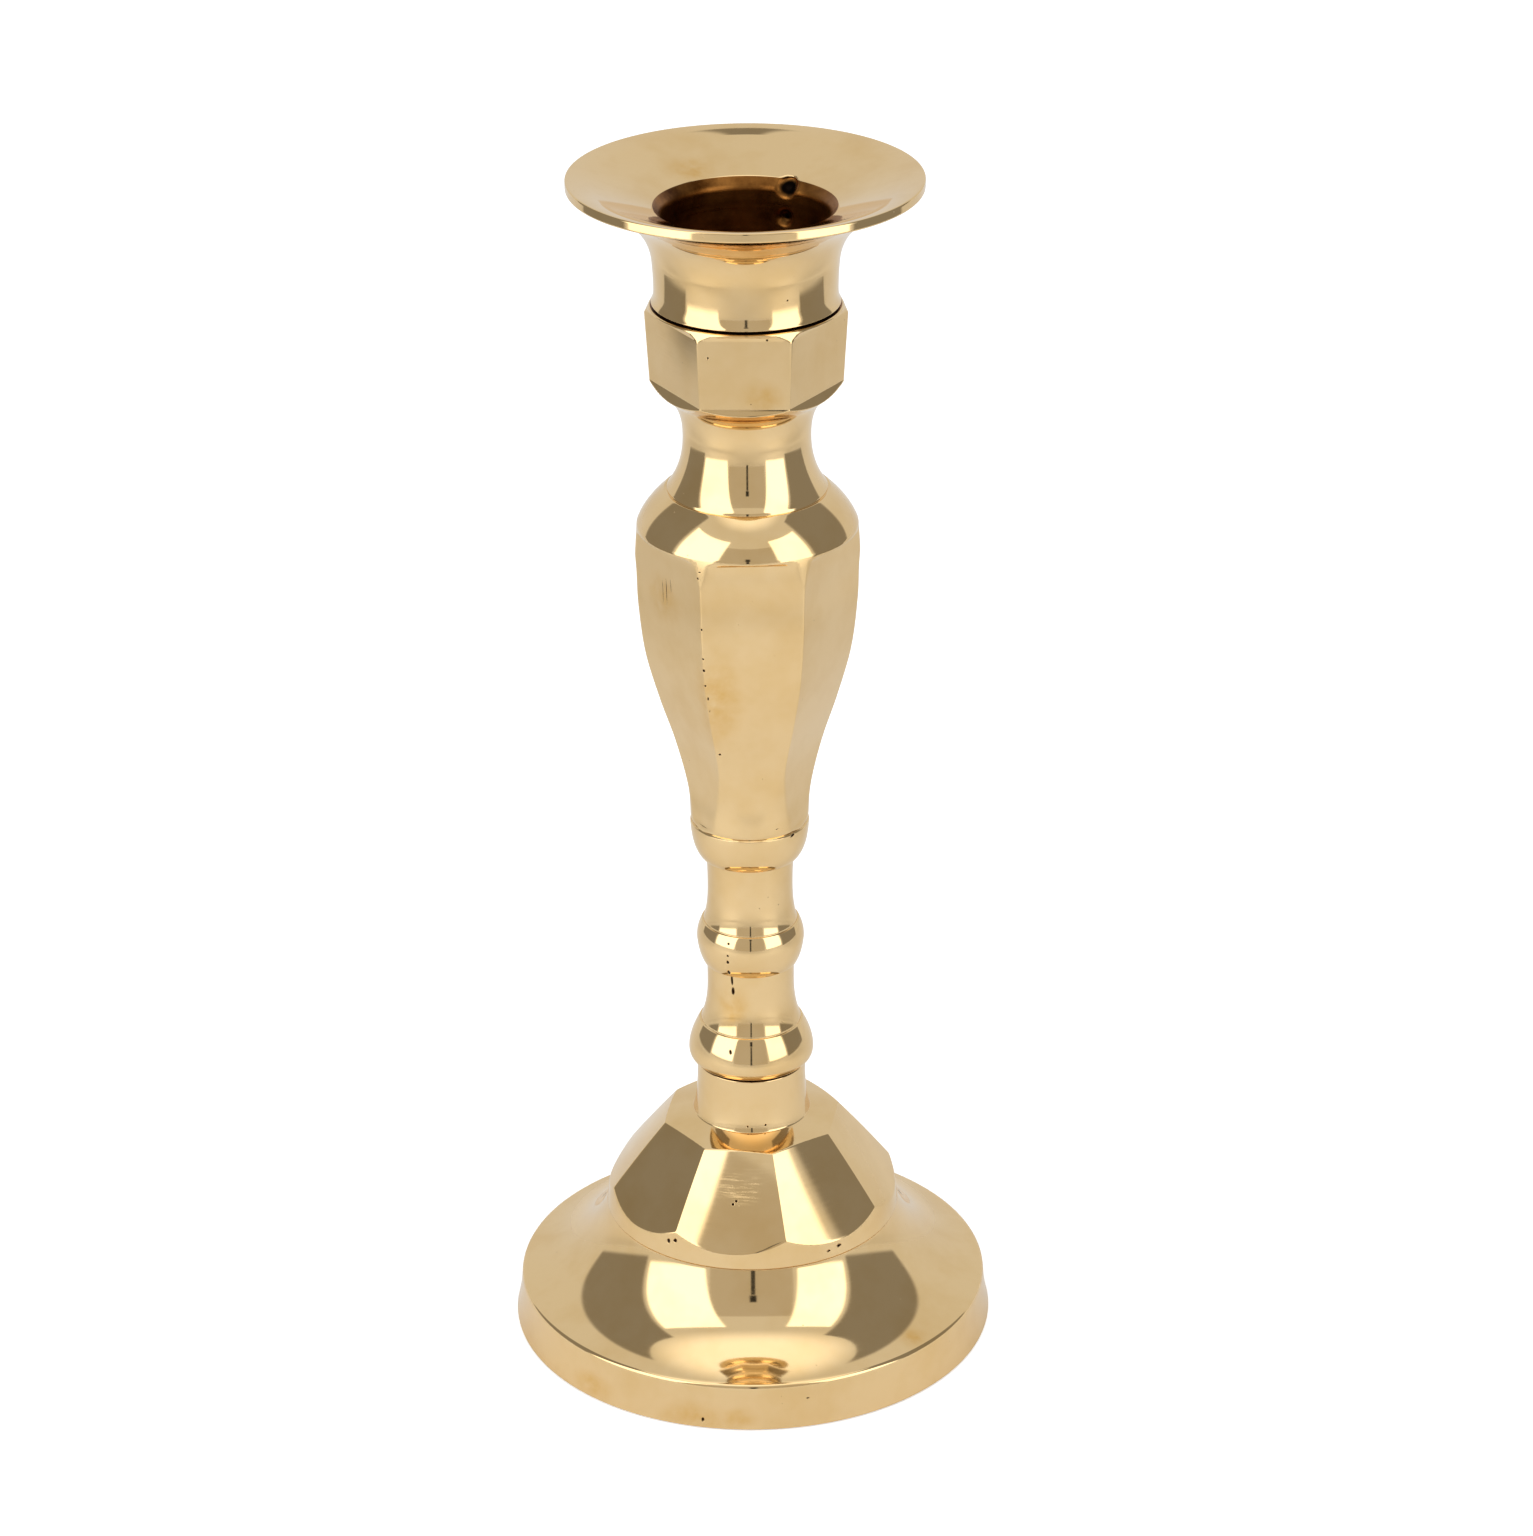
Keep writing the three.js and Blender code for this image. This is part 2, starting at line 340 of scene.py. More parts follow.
def flaw_field(
    tree: bpy.types.NodeTree, place: bpy.types.NodeSocket, flaws: tuple[Flaw, ...], soft: float
) -> bpy.types.NodeSocket:
    """Adds nodes that are one inside any of the flaws and fade to zero at their edges.

    Args:
        tree: the material's tree.
        place: object coordinates in millimetres.
        flaws: the marks.
        soft: how much of each mark's size is its faded edge.

    Returns:
        The socket that carries the strongest flaw at each point.
    """
    total = None
    for flaw in flaws:
        local = add_node(
            tree, "ShaderNodeMapping",
            {
                "Vector": place,
                "Location": on_axis(flaw.azimuth, flaw.radius, flaw.height),
                "Rotation": (0.0, math.radians(flaw.lean), 0.0),
                "Scale": (flaw.size, flaw.size, flaw.size * flaw.tall),
            },
            vector_type="TEXTURE",
        )
        reach = add_node(tree, "ShaderNodeVectorMath", {0: local.outputs[0]}, operation="LENGTH")
        mark = add_node(
            tree, "ShaderNodeMapRange",
            {"Value": reach.outputs["Value"], "From Min": 1.0, "From Max": 1.0 - soft},
            interpolation_type="SMOOTHSTEP",
        ).outputs["Result"]
        total = mark if total is None else add_node(
            tree, "ShaderNodeMath", {0: total, 1: mark}, operation="MAXIMUM"
        ).outputs[0]
    return total


def start_metal(name: str) -> tuple[bpy.types.Material, bpy.types.NodeSocket]:
    """Starts a bare metal.

    Args:
        name: the material's name.

    Returns:
        The material, and its object coordinates in millimetres.
    """
    material = bpy.data.materials.new(name)
    material.use_nodes = True
    tree = material.node_tree
    tree.nodes["Principled BSDF"].inputs["Metallic"].default_value = 1.0
    coordinates = add_node(tree, "ShaderNodeTexCoord")
    place = add_node(
        tree, "ShaderNodeVectorMath",
        {0: coordinates.outputs["Object"], "Scale": 1.0 / MM}, operation="SCALE",
    )
    return material, place.outputs[0]


def finish_metal(
    material: bpy.types.Material,
    colour: bpy.types.NodeSocket,
    roughness: bpy.types.NodeSocket,
    relief: bpy.types.NodeSocket | None = None,
) -> bpy.types.Material:
    """Feeds a metal's shader.

    Args:
        material: the metal.
        colour: its colour.
        roughness: its roughness.
        relief: the height of its surface in millimetres.

    Returns:
        The same material.
    """
    tree = material.node_tree
    shader = tree.nodes["Principled BSDF"]
    tree.links.new(colour, shader.inputs["Base Color"])
    tree.links.new(roughness, shader.inputs["Roughness"])
    if relief is not None:
        bump = add_node(
            tree, "ShaderNodeBump", {"Strength": 1.0, "Distance": MM, "Height": relief}
        )
        tree.links.new(bump.outputs[0], shader.inputs["Normal"])
    return material


def mottled(
    tree: bpy.types.NodeTree,
    place: bpy.types.NodeSocket,
    noise: tuple[float, float, float],
    low: float,
    high: float,
    most: float = 1.0,
) -> bpy.types.NodeSocket:
    """Adds patches of noise that fade in between two of its values.

    Args:
        tree: the material's tree.
        place: where the noise is read.
        noise: its scale, detail and roughness.
        low: the noise value that gives nothing.
        high: the noise value that gives the most.
        most: the strongest patch.

    Returns:
        The socket that carries the patches.
    """
    scale, detail, roughness = noise
    texture = add_node(
        tree, "ShaderNodeTexNoise",
        {"Vector": place, "Scale": scale, "Detail": detail, "Roughness": roughness},
    )
    return add_node(
        tree, "ShaderNodeMapRange",
        {"Value": texture.outputs["Fac"], "From Min": low, "From Max": high, "To Max": most},
    ).outputs["Result"]


def layered(
    tree: bpy.types.NodeTree, base: str, layers: list[tuple[bpy.types.NodeSocket, str]]
) -> bpy.types.NodeSocket:
    """Lays colours over a base colour, one after the other.

    Args:
        tree: the material's tree.
        base: the hex code underneath.
        layers: how much of each colour covers what is under it, and its hex code.

    Returns:
        The socket that carries the colour.
    """
    colour: Colour | bpy.types.NodeSocket = linear(base)
    for share, shade in layers:
        colour = add_node(
            tree, "ShaderNodeMix", {0: share, 6: colour, 7: linear(shade)}, data_type="RGBA"
        ).outputs[2]
    return colour


@dataclass(frozen=True)
class BuffedBrass:
    """Yellow cartridge brass, cast, turned, ground and buffed on a mop, never lacquered.

    The eye sees a near mirror with a warm, slightly cloudy colour, hair-fine mop lines, and the
    pinholes and tarnish that an unlacquered casting keeps.
    """

    name: str
    pits: tuple[Flaw, ...] = ()
    stains: tuple[Flaw, ...] = ()
    scuffs: tuple[Flaw, ...] = ()
    seed: float = 0.0
    brass: str = "EFD09C"
    cloud: str = "E2BC7C"
    # the stain colour also paints one reflection near the cup's throat
    stain: str = "D9A441"
    pit: str = "2A1608"
    roughness: float = 0.045
    hole_roughness: float = 0.5  # added in a pit or a pinhole
    scuff_roughness: float = 0.28  # added in a scuff
    cloud_size: float = 9.0  # mm across one cloud of tarnish
    mop_line: float = 0.35  # mm between mop lines, coarser than the real ones so that they show
    mop_depth: float = 0.00012  # mm
    wave: float = 5.0  # mm between the soft waves that buffing leaves
    wave_depth: float = 0.0035  # mm
    pinhole_cell: float = 2.1  # mm between the places where a pinhole may open
    pinhole: float = 0.085  # mm, radius of a pinhole
    hole_depth: float = 0.06  # mm

    def build(self) -> bpy.types.Material:
        """Builds the material.

        Returns:
            The finished material.
        """
        material, place = start_metal(self.name)
        tree = material.node_tree
        shift = (self.seed * 17.0, self.seed * 5.0, self.seed * 3.0)
        shifted = add_node(tree, "ShaderNodeVectorMath", {0: place, 1: shift}).outputs[0]
        # Mop lines run round the object, so they are long in x and y and fine in height.
        lines = add_node(
            tree, "ShaderNodeMapping",
            {"Vector": shifted, "Scale": (0.09, 0.09, 1.0 / self.mop_line)},
        )
        mop = add_node(
            tree, "ShaderNodeTexNoise",
            {"Vector": lines.outputs[0], "Scale": 1.0, "Detail": 3.0, "Roughness": 0.7},
        ).outputs["Fac"]
        holes = self._holes(tree, place, shifted)
        return finish_metal(
            material,
            self._colour(tree, place, shifted, holes),
            self._dullness(tree, place, mop, holes),
            self._relief(tree, shifted, mop, holes),
        )

    def _holes(
        self, tree: bpy.types.NodeTree, place: bpy.types.NodeSocket, shifted: bpy.types.NodeSocket
    ) -> bpy.types.NodeSocket:
        """Opens one cell in a few to a pinhole, in flocks, and adds the casting's own pits."""
        cells = add_node(
            tree, "ShaderNodeTexVoronoi",
            {"Vector": shifted, "Scale": 1.0 / self.pinhole_cell}, feature="F1",
        )
        rim = self.pinhole / self.pinhole_cell
        hole = add_node(
            tree, "ShaderNodeMapRange",
            {"Value": cells.outputs["Distance"], "From Min": rim, "From Max": 0.4 * rim},
        ).outputs["Result"]
        flock = mottled(tree, shifted, (0.16, 1.0, 0.5), 0.56, 0.66)
        holes = add_node(tree, "ShaderNodeMath", {0: hole, 1: flock}, operation="MULTIPLY")
        if self.pits:
            cast = flaw_field(tree, place, self.pits, 0.45)
            torn = mottled(tree, place, (3.0, 2.0, 0.6), 0.3, 0.4)
            ragged = add_node(tree, "ShaderNodeMath", {0: cast, 1: torn}, operation="MULTIPLY")
            holes = add_node(
                tree, "ShaderNodeMath",
                {0: holes.outputs[0], 1: ragged.outputs[0]}, operation="MAXIMUM",
            )
        return holes.outputs[0]

    def _colour(
        self,
        tree: bpy.types.NodeTree,
        place: bpy.types.NodeSocket,
        shifted: bpy.types.NodeSocket,
        holes: bpy.types.NodeSocket,
    ) -> bpy.types.NodeSocket:
        """Gives the brass its clouds, its stains and the dark of its holes; on the cup one stain is
        a painted reflection.
        """
        clouds = mottled(tree, shifted, (1.0 / self.cloud_size, 3.0, 0.6), 0.42, 0.78, 0.6)
        layers = [(clouds, self.cloud)]
        if self.stains:
            # Stain marks are tarnish, and on the cup one is a painted reflection near the throat.
            tarnish = flaw_field(tree, place, self.stains, 1.0)
            uneven = mottled(tree, shifted, (0.5, 3.0, 0.5), 0.2, 0.8, 0.8)
            patch = add_node(
                tree, "ShaderNodeMath", {0: tarnish, 1: uneven},
                operation="MULTIPLY", use_clamp=True,
            )
            layers.append((patch.outputs[0], self.stain))
        return layered(tree, self.brass, [*layers, (holes, self.pit)])

    def _dullness(
        self,
        tree: bpy.types.NodeTree,
        place: bpy.types.NodeSocket,
        mop: bpy.types.NodeSocket,
        holes: bpy.types.NodeSocket,
    ) -> bpy.types.NodeSocket:
        """Gives the roughness, higher along mop lines, in holes and in scuffs."""
        gloss = add_node(
            tree, "ShaderNodeMapRange",
            {
                "Value": mop,
                "From Min": 0.35,
                "From Max": 0.75,
                "To Min": self.roughness,
                "To Max": self.roughness * 1.9,
            },
        ).outputs["Result"]
        marks = [(holes, self.hole_roughness)]
        if self.scuffs:
            # Scuffs are short strokes that run round the object.
            rubbed = flaw_field(tree, place, self.scuffs, 0.8)
            strokes = add_node(
                tree, "ShaderNodeMapping", {"Vector": place, "Scale": (0.3, 0.3, 5.0)}
            )
            scratch = mottled(tree, strokes.outputs[0], (1.0, 3.0, 0.6), 0.48, 0.62)
            rough = add_node(
                tree, "ShaderNodeMath", {0: rubbed, 1: scratch}, operation="MULTIPLY"
            )
            marks.append((rough.outputs[0], self.scuff_roughness))
        for mark, more in marks:
            gloss = add_node(
                tree, "ShaderNodeMath", {0: mark, 1: more, 2: gloss}, operation="MULTIPLY_ADD"
            ).outputs[0]
        return gloss

    def _relief(
        self,
        tree: bpy.types.NodeTree,
        shifted: bpy.types.NodeSocket,
        mop: bpy.types.NodeSocket,
        holes: bpy.types.NodeSocket,
    ) -> bpy.types.NodeSocket:
        """Gives the height of the surface in millimetres, from waves, mop lines and holes."""
        waves = add_node(
            tree, "ShaderNodeTexNoise",
            {"Vector": shifted, "Scale": 1.0 / self.wave, "Detail": 1.0, "Roughness": 0.4},
        ).outputs["Fac"]
        height = add_node(
            tree, "ShaderNodeMath", {0: waves, 1: self.wave_depth}, operation="MULTIPLY"
        ).outputs[0]
        for mark, rise in ((mop, self.mop_depth), (holes, -self.hole_depth)):
            height = add_node(
                tree, "ShaderNodeMath", {0: mark, 1: rise, 2: height}, operation="MULTIPLY_ADD"
            ).outputs[0]
        return height


@dataclass(frozen=True)
class BoredBrassWithPaintedShade:
    """Bored brass inside the candle socket, never buffed, browned by wax and flame and darkened
    further as painted shade of the deep bore.
    """

    name: str = "bored_brass_darkened_as_painted_shade"
    # The bare colour is far darker than buffed brass: partly unbuffed, browned metal and partly
    # painted shade of the bore.
    bare: str = "A06C34"
    brown: str = "55300F"
    soot: str = "0C0705"
    roughness: float = 0.3
    holes: tuple[Flaw, ...] = ()
    tool_mark: float = 0.5  # mm between the rings that the boring tool left
    tool_depth: float = 0.012  # mm

    def build(self) -> bpy.types.Material:
        """Builds the material."""
        material, place = start_metal(self.name)
        tree = material.node_tree
        layers = [(mottled(tree, place, (0.22, 5.0, 0.6), 0.32, 0.68), self.brown)]
        if self.holes:
            layers.append((flaw_field(tree, place, self.holes, 0.35), self.soot))
        rings = add_node(
            tree, "ShaderNodeMapping",
            {"Vector": place, "Scale": (0.05, 0.05, 1.0 / self.tool_mark)},
        )
        marks = add_node(
            tree, "ShaderNodeTexNoise",
            {"Vector": rings.outputs[0], "Scale": 1.0, "Detail": 3.0, "Roughness": 0.6},
        ).outputs["Fac"]
        gloss = add_node(
            tree, "ShaderNodeMapRange",
            {"Value": marks, "To Min": self.roughness - 0.1, "To Max": self.roughness + 0.15},
        )
        depth = add_node(
            tree, "ShaderNodeMath", {0: marks, 1: self.tool_depth}, operation="MULTIPLY"
        )
        colour = layered(tree, self.bare, layers)
        return finish_metal(material, colour, gloss.outputs["Result"], depth.outputs[0])


@dataclass(frozen=True)
class SandCastBrass:
    """Brass as it left the sand mould, under the foot: grainy, dull and unevenly browned."""

    name: str = "sand_cast_brass"
    bright: str = "C69A5A"
    dark: str = "7A5528"
    grain: float = 0.45  # mm, the moulding sand's grit
    grain_depth: float = 0.07  # mm

    def build(self) -> bpy.types.Material:
        """Builds the material."""
        material, place = start_metal(self.name)
        tree = material.node_tree
        patches = mottled(tree, place, (0.12, 6.0, 0.65), 0.35, 0.7)
        sand = add_node(
            tree, "ShaderNodeTexNoise",
            {"Vector": place, "Scale": 1.0 / self.grain, "Detail": 3.0, "Roughness": 0.6},
        ).outputs["Fac"]
        gloss = add_node(
            tree, "ShaderNodeMapRange", {"Value": sand, "To Min": 0.38, "To Max": 0.7}
        )
        depth = add_node(
            tree, "ShaderNodeMath", {0: sand, 1: self.grain_depth}, operation="MULTIPLY"
        )
        colour = layered(tree, self.bright, [(patches, self.dark)])
        return finish_metal(material, colour, gloss.outputs["Result"], depth.outputs[0])


@dataclass(frozen=True)
class ZincPlatedSteel:
    """Bright zinc-plated steel of bought-in fasteners: grey, faintly blue, with a satin grain."""

    name: str = "zinc_plated_steel"
    zinc: str = "BFC1C4"
    worn: str = "8E8C86"
    grain: float = 0.6  # mm

    def build(self) -> bpy.types.Material:
        """Builds the material."""
        material, place = start_metal(self.name)
        tree = material.node_tree
        spangle = add_node(
            tree, "ShaderNodeTexNoise",
            {"Vector": place, "Scale": 1.0 / self.grain, "Detail": 4.0, "Roughness": 0.6},
        ).outputs["Fac"]
        share, gloss = (
            add_node(tree, "ShaderNodeMapRange", {"Value": spangle, **span}).outputs["Result"]
            for span in ({"From Min": 0.4, "From Max": 0.75}, {"To Min": 0.24, "To Max": 0.42})
        )
        return finish_metal(material, layered(tree, self.zinc, [(share, self.worn)]), gloss)


# ------------------------------------------------------------------------------------------
# turning and grinding, as geometry nodes
# ------------------------------------------------------------------------------------------


@dataclass(frozen=True)
class Flat:
    """One ground face: which way it looks, and the half angle that it spans at the axis."""

    azimuth: float
    half: float


# A hexagon's front and back flats are ground a little narrower than its four side flats.
HALF_FRONT = 27.0
HALF_SIDE = (180.0 - 2.0 * HALF_FRONT) / 4.0
HEXAGON = tuple(
    Flat(face + side * (HALF_FRONT + HALF_SIDE), HALF_SIDE if side else HALF_FRONT)
    for face in (0.0, 180.0)
    for side in (0, 1, -1)
)
OCTAGON = tuple(Flat(45.0 * i, 22.5) for i in range(8))
EVEN_HEXAGON = tuple(Flat(60.0 * i, 30.0) for i in range(6))


def ring_azimuths(flats: tuple[Flat, ...], columns: int, crowding: float) -> list[float]:
    """Spreads a ring's points so that they crowd at the corners between flats.

    Args:
        flats: the faces, or none for a round piece.
        columns: about how many points there are.
        crowding: 0 for even steps, towards 1 for steps that shrink to nothing at each corner.

    Returns:
        Azimuths in degrees from the first corner, once round to the same place.
    """
    if not flats:
        return [360.0 * i / columns for i in range(columns + 1)]
    azimuths: list[float] = []
    for flat in sorted(flats, key=lambda f: f.azimuth):
        steps = 2 * max(3, round(columns * flat.half / 360.0))
        for i in range(steps):
            share = 2.0 * i / steps - 1.0
            share += crowding * math.sin(math.pi * share) / math.pi
            azimuths.append(flat.azimuth + flat.half * share)
    azimuths.append(azimuths[0] + 360.0)
    return azimuths


@dataclass(frozen=True)
class Dent:
    """A blowhole that the mould's gas left in the metal; depth is outwards from the axis."""

    azimuth: float
    radius: float
    height: float
    size: float
    depth: float


def new_geometry_tree(
    name: str, inputs: dict[str, str], output: str
) -> tuple[bpy.types.NodeTree, bpy.types.NodeOutputs]:
    """Starts a geometry tree.

    Args:
        name: the tree's name.
        inputs: the kind of each named input, such as Float.
        output: the name of its one geometry output.

    Returns:
        The tree, and the sockets that carry its inputs.
    """
    tree = bpy.data.node_groups.new(name, "GeometryNodeTree")
    for label, kind in inputs.items():
        tree.interface.new_socket(name=label, in_out="INPUT", socket_type="NodeSocket" + kind)
    tree.interface.new_socket(name=output, in_out="OUTPUT", socket_type="NodeSocketGeometry")
    return tree, add_node(tree, "NodeGroupInput").outputs


def work_out(
    tree: bpy.types.NodeTree, known: dict[str, object], table: tuple[tuple[object, ...], ...]
) -> None:
    """Adds a table of nodes to a tree, each line able to use the lines above it.

    Args:
        tree: the geometry tree.
        known: the sockets by name; every result is added to it.
        table: lines of a result's name, a kind of node, its operation or None, and the names
            or numbers that it works on.
    """
    for result, kind, operation, *terms in table:
        feeds = {i: known[term] if isinstance(term, str) else term for i, term in enumerate(terms)}
        settings = {"operation": operation} if operation else {}
        known[result] = add_node(tree, "ShaderNode" + kind, feeds, **settings).outputs[0]


def lathe_tree(
    name: str, flats: tuple[Flat, ...], crown: float, dents: tuple[Dent, ...]
) -> bpy.types.NodeTree:
    """Builds the tree that turns an outline, cuts its threads and grinds its flats.

    The modifier's own mesh is the outline: one loose point for each ring, with its sizes as
    attributes. A second object is the ring: one loose point for each column, with its azimuth.

    Args:
        name: the tree's name.
        flats: the faces that are ground.
        crown: how much a face bulges between its corners, as a share of its distance.
        dents: blowholes in the metal.

    Returns:
        The geometry node tree.
    """
    finishes = {zone.name: "Material" for zone in Zone}
    tree, given = new_geometry_tree(
        name,
        {"Outline": "Geometry", "Ring": "Object", "Thread Pitch": "Float",
         "Arris Softness": "Float", **finishes},
        "Casting",
    )
    ring = add_node(
        tree, "GeometryNodeObjectInfo", {"Object": given["Ring"]}
    ).outputs["Geometry"]
    rows, columns = (
        add_node(tree, "GeometryNodeAttributeDomainSize", {0: points}).outputs["Point Count"]
        for points in (given["Outline"], ring)
    )
    grid = add_node(
        tree, "GeometryNodeMeshGrid", {"Vertices X": columns, "Vertices Y": rows}
    ).outputs["Mesh"]
    known: dict[str, object] = {
        "index": add_node(tree, "GeometryNodeInputIndex").outputs[0],
        "rows": rows,
        "pitch": given["Thread Pitch"],
        "softness": given["Arris Softness"],
    }
    work_out(tree, known, (
        ("middle", "Math", "ADD", "index", 0.5),
        ("share", "Math", "DIVIDE", "middle", "rows"),
        ("column", "Math", "FLOOR", "share"),
        ("before", "Math", "MULTIPLY", "column", "rows"),
        ("row", "Math", "SUBTRACT", "index", "before"),
    ))
    # Each point of the grid reads its row of the outline and its column of the ring.
    reads = [(given["Outline"], size, known["row"]) for size in STATION_SIZES]
    for points, attribute, place in [*reads, (ring, "azimuth", known["column"])]:
        value = add_node(
            tree, "GeometryNodeInputNamedAttribute", {"Name": attribute}, data_type="FLOAT"
        )
        known[attribute] = add_node(
            tree, "GeometryNodeSampleIndex",
            {"Geometry": points, "Value": value.outputs["Attribute"], "Index": place},
            data_type="FLOAT",
        ).outputs[0]

    # The thread is a triangle wave that climbs one pitch in each turn.
    work_out(tree, known, (
        ("pitches", "Math", "DIVIDE", "height", "pitch"),
        ("turns", "Math", "DIVIDE", "azimuth", math.tau),
        ("climb", "Math", "SUBTRACT", "pitches", "turns"),
        ("wave", "Math", "PINGPONG", "climb", 0.5),
        ("groove", "Math", "MULTIPLY", "wave", 2.0),
        ("cut", "Math", "MULTIPLY", "thread", "groove"),
        ("reach", "Math", "SUBTRACT", "radius", "cut"),
    ))
    for flat in flats:
        work_out(tree, known, (
            ("off", "Math", "SUBTRACT", "azimuth", math.radians(flat.azimuth)),
            ("ahead", "Math", "COSINE", "off"),
            ("slant", "Math", "MAXIMUM", "ahead", LEAST_SLANT),
            ("sideways", "Math", "SINE", "off"),
            ("aside", "Math", "DIVIDE", "sideways", "slant"),
            ("square", "Math", "MULTIPLY", "aside", "aside"),
            ("fall", "Math", "MULTIPLY", "square", -crown),
            ("fullness", "Math", "ADD", "fall", 1.0),
            ("bulge", "Math", "MAXIMUM", "fullness", LEAST_BULGE),
            ("distance", "Math", "MULTIPLY", "corner", math.cos(math.radians(flat.half))),
            ("crowned", "Math", "MULTIPLY", "distance", "bulge"),
            ("ground", "Math", "DIVIDE", "crowned", "slant"),
            ("reach", "Math", "SMOOTH_MIN", "reach", "ground", "softness"),
        ))
    work_out(tree, known, (
        ("turned", "Math", "ADD", "azimuth", "turn"),
        ("x", "Math", "SINE", "turned"),
        ("forward", "Math", "COSINE", "turned"),
        ("y", "Math", "MULTIPLY", "forward", -1.0),
    ))
    placing = (
        ("place_x", "Math", "MULTIPLY", "reach", "x"),
        ("place_y", "Math", "MULTIPLY", "reach", "y"),
        ("place", "CombineXYZ", None, "place_x", "place_y", "height"),
    )
    work_out(tree, known, placing)
    for dent in dents:
        centre = on_axis(dent.azimuth, dent.radius, dent.height) * MM
        gap = add_node(
            tree, "ShaderNodeVectorMath", {0: known["place"], 1: centre}, operation="DISTANCE"
        )
        known["sink"] = add_node(
            tree, "ShaderNodeMapRange",
            {
                "Value": gap.outputs["Value"],
                "From Min": dent.size * MM,
                "From Max": 0.45 * dent.size * MM,
                "To Max": dent.depth * MM,
            },
            interpolation_type="SMOOTHSTEP",
        ).outputs["Result"]
        work_out(tree, known, (("reach", "Math", "ADD", "reach", "sink"), *placing))

    solid = grid
    for kind, feeds, settings in (
        ("GeometryNodeSetPosition", {"Position": known["place"]}, {}),
        ("GeometryNodeStoreNamedAttribute", {"Name": "zone", "Value": known["zone"]},
         {"data_type": "FLOAT", "domain": "POINT"}),
        ("GeometryNodeMergeByDistance", {"Distance": WELD}, {}),
        ("GeometryNodeSetShadeSmooth", {}, {}),
        ("GeometryNodeRealizeInstances", {}, {}),
    ):
        solid = add_node(tree, kind, {"Geometry": solid, **feeds}, **settings).outputs[0]
    known["where"] = add_node(
        tree, "GeometryNodeInputNamedAttribute", {"Name": "zone"}, data_type="FLOAT"
    ).outputs["Attribute"]
    for finish in Zone:
        work_out(tree, known, (("chosen", "Math", "GREATER_THAN", "where", finish.value - 0.5),))
        solid = add_node(
            tree, "GeometryNodeSetMaterial",
            {"Geometry": solid, "Selection": known["chosen"], "Material": given[finish.name]},
        ).outputs[0]
    add_node(tree, "NodeGroupOutput", {0: solid})
    return tree


def cloud_of_points(name: str, attributes: dict[str, list[float]]) -> bpy.types.Object:
    """Makes a helper object of loose points that carry numbers for a tree.

    Args:
        name: the object's name.
        attributes: one list of numbers for each attribute, all of one length.

    Returns:
        The helper object.
    """
    count = len(next(iter(attributes.values())))
    mesh = bpy.data.meshes.new(name)
    mesh.from_pydata([(0.0, 0.0, 0.001 * i) for i in range(count)], [], [])
    for attribute, values in attributes.items():
        mesh.attributes.new(attribute, "FLOAT", "POINT").data.foreach_set("value", values)
    return add_object(name, mesh)


def grown(
    name: str, seed: bpy.types.Object, tree: bpy.types.NodeTree, inputs: dict[str, object]
) -> bpy.types.Object:
    """Runs a tree on a helper object and keeps the result as a plain mesh.

    Args:
        name: the new object's name.
        seed: the helper that carries the modifier; it is removed.
        tree: the geometry node tree.
        inputs: value for each named input of the tree.

    Returns:
        The plain mesh object, linked to the scene.
    """
    modifier = seed.modifiers.new(tree.name, "NODES")
    modifier.node_group = tree
    for item in tree.interface.items_tree:
        if item.item_type == "SOCKET" and item.in_out == "INPUT" and item.name in inputs:
            modifier[item.identifier] = inputs[item.name]
    seed.update_tag()
    graph = bpy.context.evaluated_depsgraph_get()
    mesh = bpy.data.meshes.new_from_object(
        seed.evaluated_get(graph), preserve_all_data_layers=True, depsgraph=graph
    )
    mesh.name = name
    seed.modifiers.remove(modifier)
    bpy.data.objects.remove(seed)
    return add_object(name, mesh)


@dataclass(frozen=True)
class Lathe:
    """Turns outlines into castings and fasteners."""

    flats: tuple[Flat, ...] = ()
    columns: int = 200
    crowding: float = 0.0
    crown: float = 0.0
    softness: float = 0.2  # mm, how much metal an arris has lost
    pitch: float = 1.0  # mm, of the thread
    dents: tuple[Dent, ...] = ()

    def turn(
        self, name: str, stations: list[Station], finishes: dict[Zone, bpy.types.Material]
    ) -> bpy.types.Object:
        """Turns one piece.

        Args:
            name: the piece's name.
            stations: its rings, in the order of the outline.
            finishes: the material of each zone; a zone that is left out takes the buffed one.

        Returns:
            The finished mesh object.
        """
        outline = cloud_of_points(
            name + "_outline",
            {
                "radius": [s.radius * MM for s in stations],
                "height": [s.height * MM for s in stations],
                "corner": [s.corner * MM for s in stations],
                "turn": [math.radians(s.turn) for s in stations],
                "thread": [s.thread * MM for s in stations],
                "zone": [float(s.zone.value) for s in stations],
            },
        )
        azimuths = ring_azimuths(self.flats, self.columns, self.crowding)
        ring = cloud_of_points(name + "_ring", {"azimuth": [math.radians(a) for a in azimuths]})
        inputs: dict[str, object] = {
            "Ring": ring,
            "Thread Pitch": self.pitch * MM,
            "Arris Softness": self.softness * MM,
        }
        buffed = next(iter(finishes.values()))
        for zone in Zone:
            inputs[zone.name] = finishes.get(zone, buffed)
        tree = lathe_tree(name + "_lathe", self.flats, self.crown, self.dents)
        piece = grown(name, outline, tree, inputs)
        bpy.data.objects.remove(ring)
        return piece


# ------------------------------------------------------------------------------------------
# the castings
# ------------------------------------------------------------------------------------------


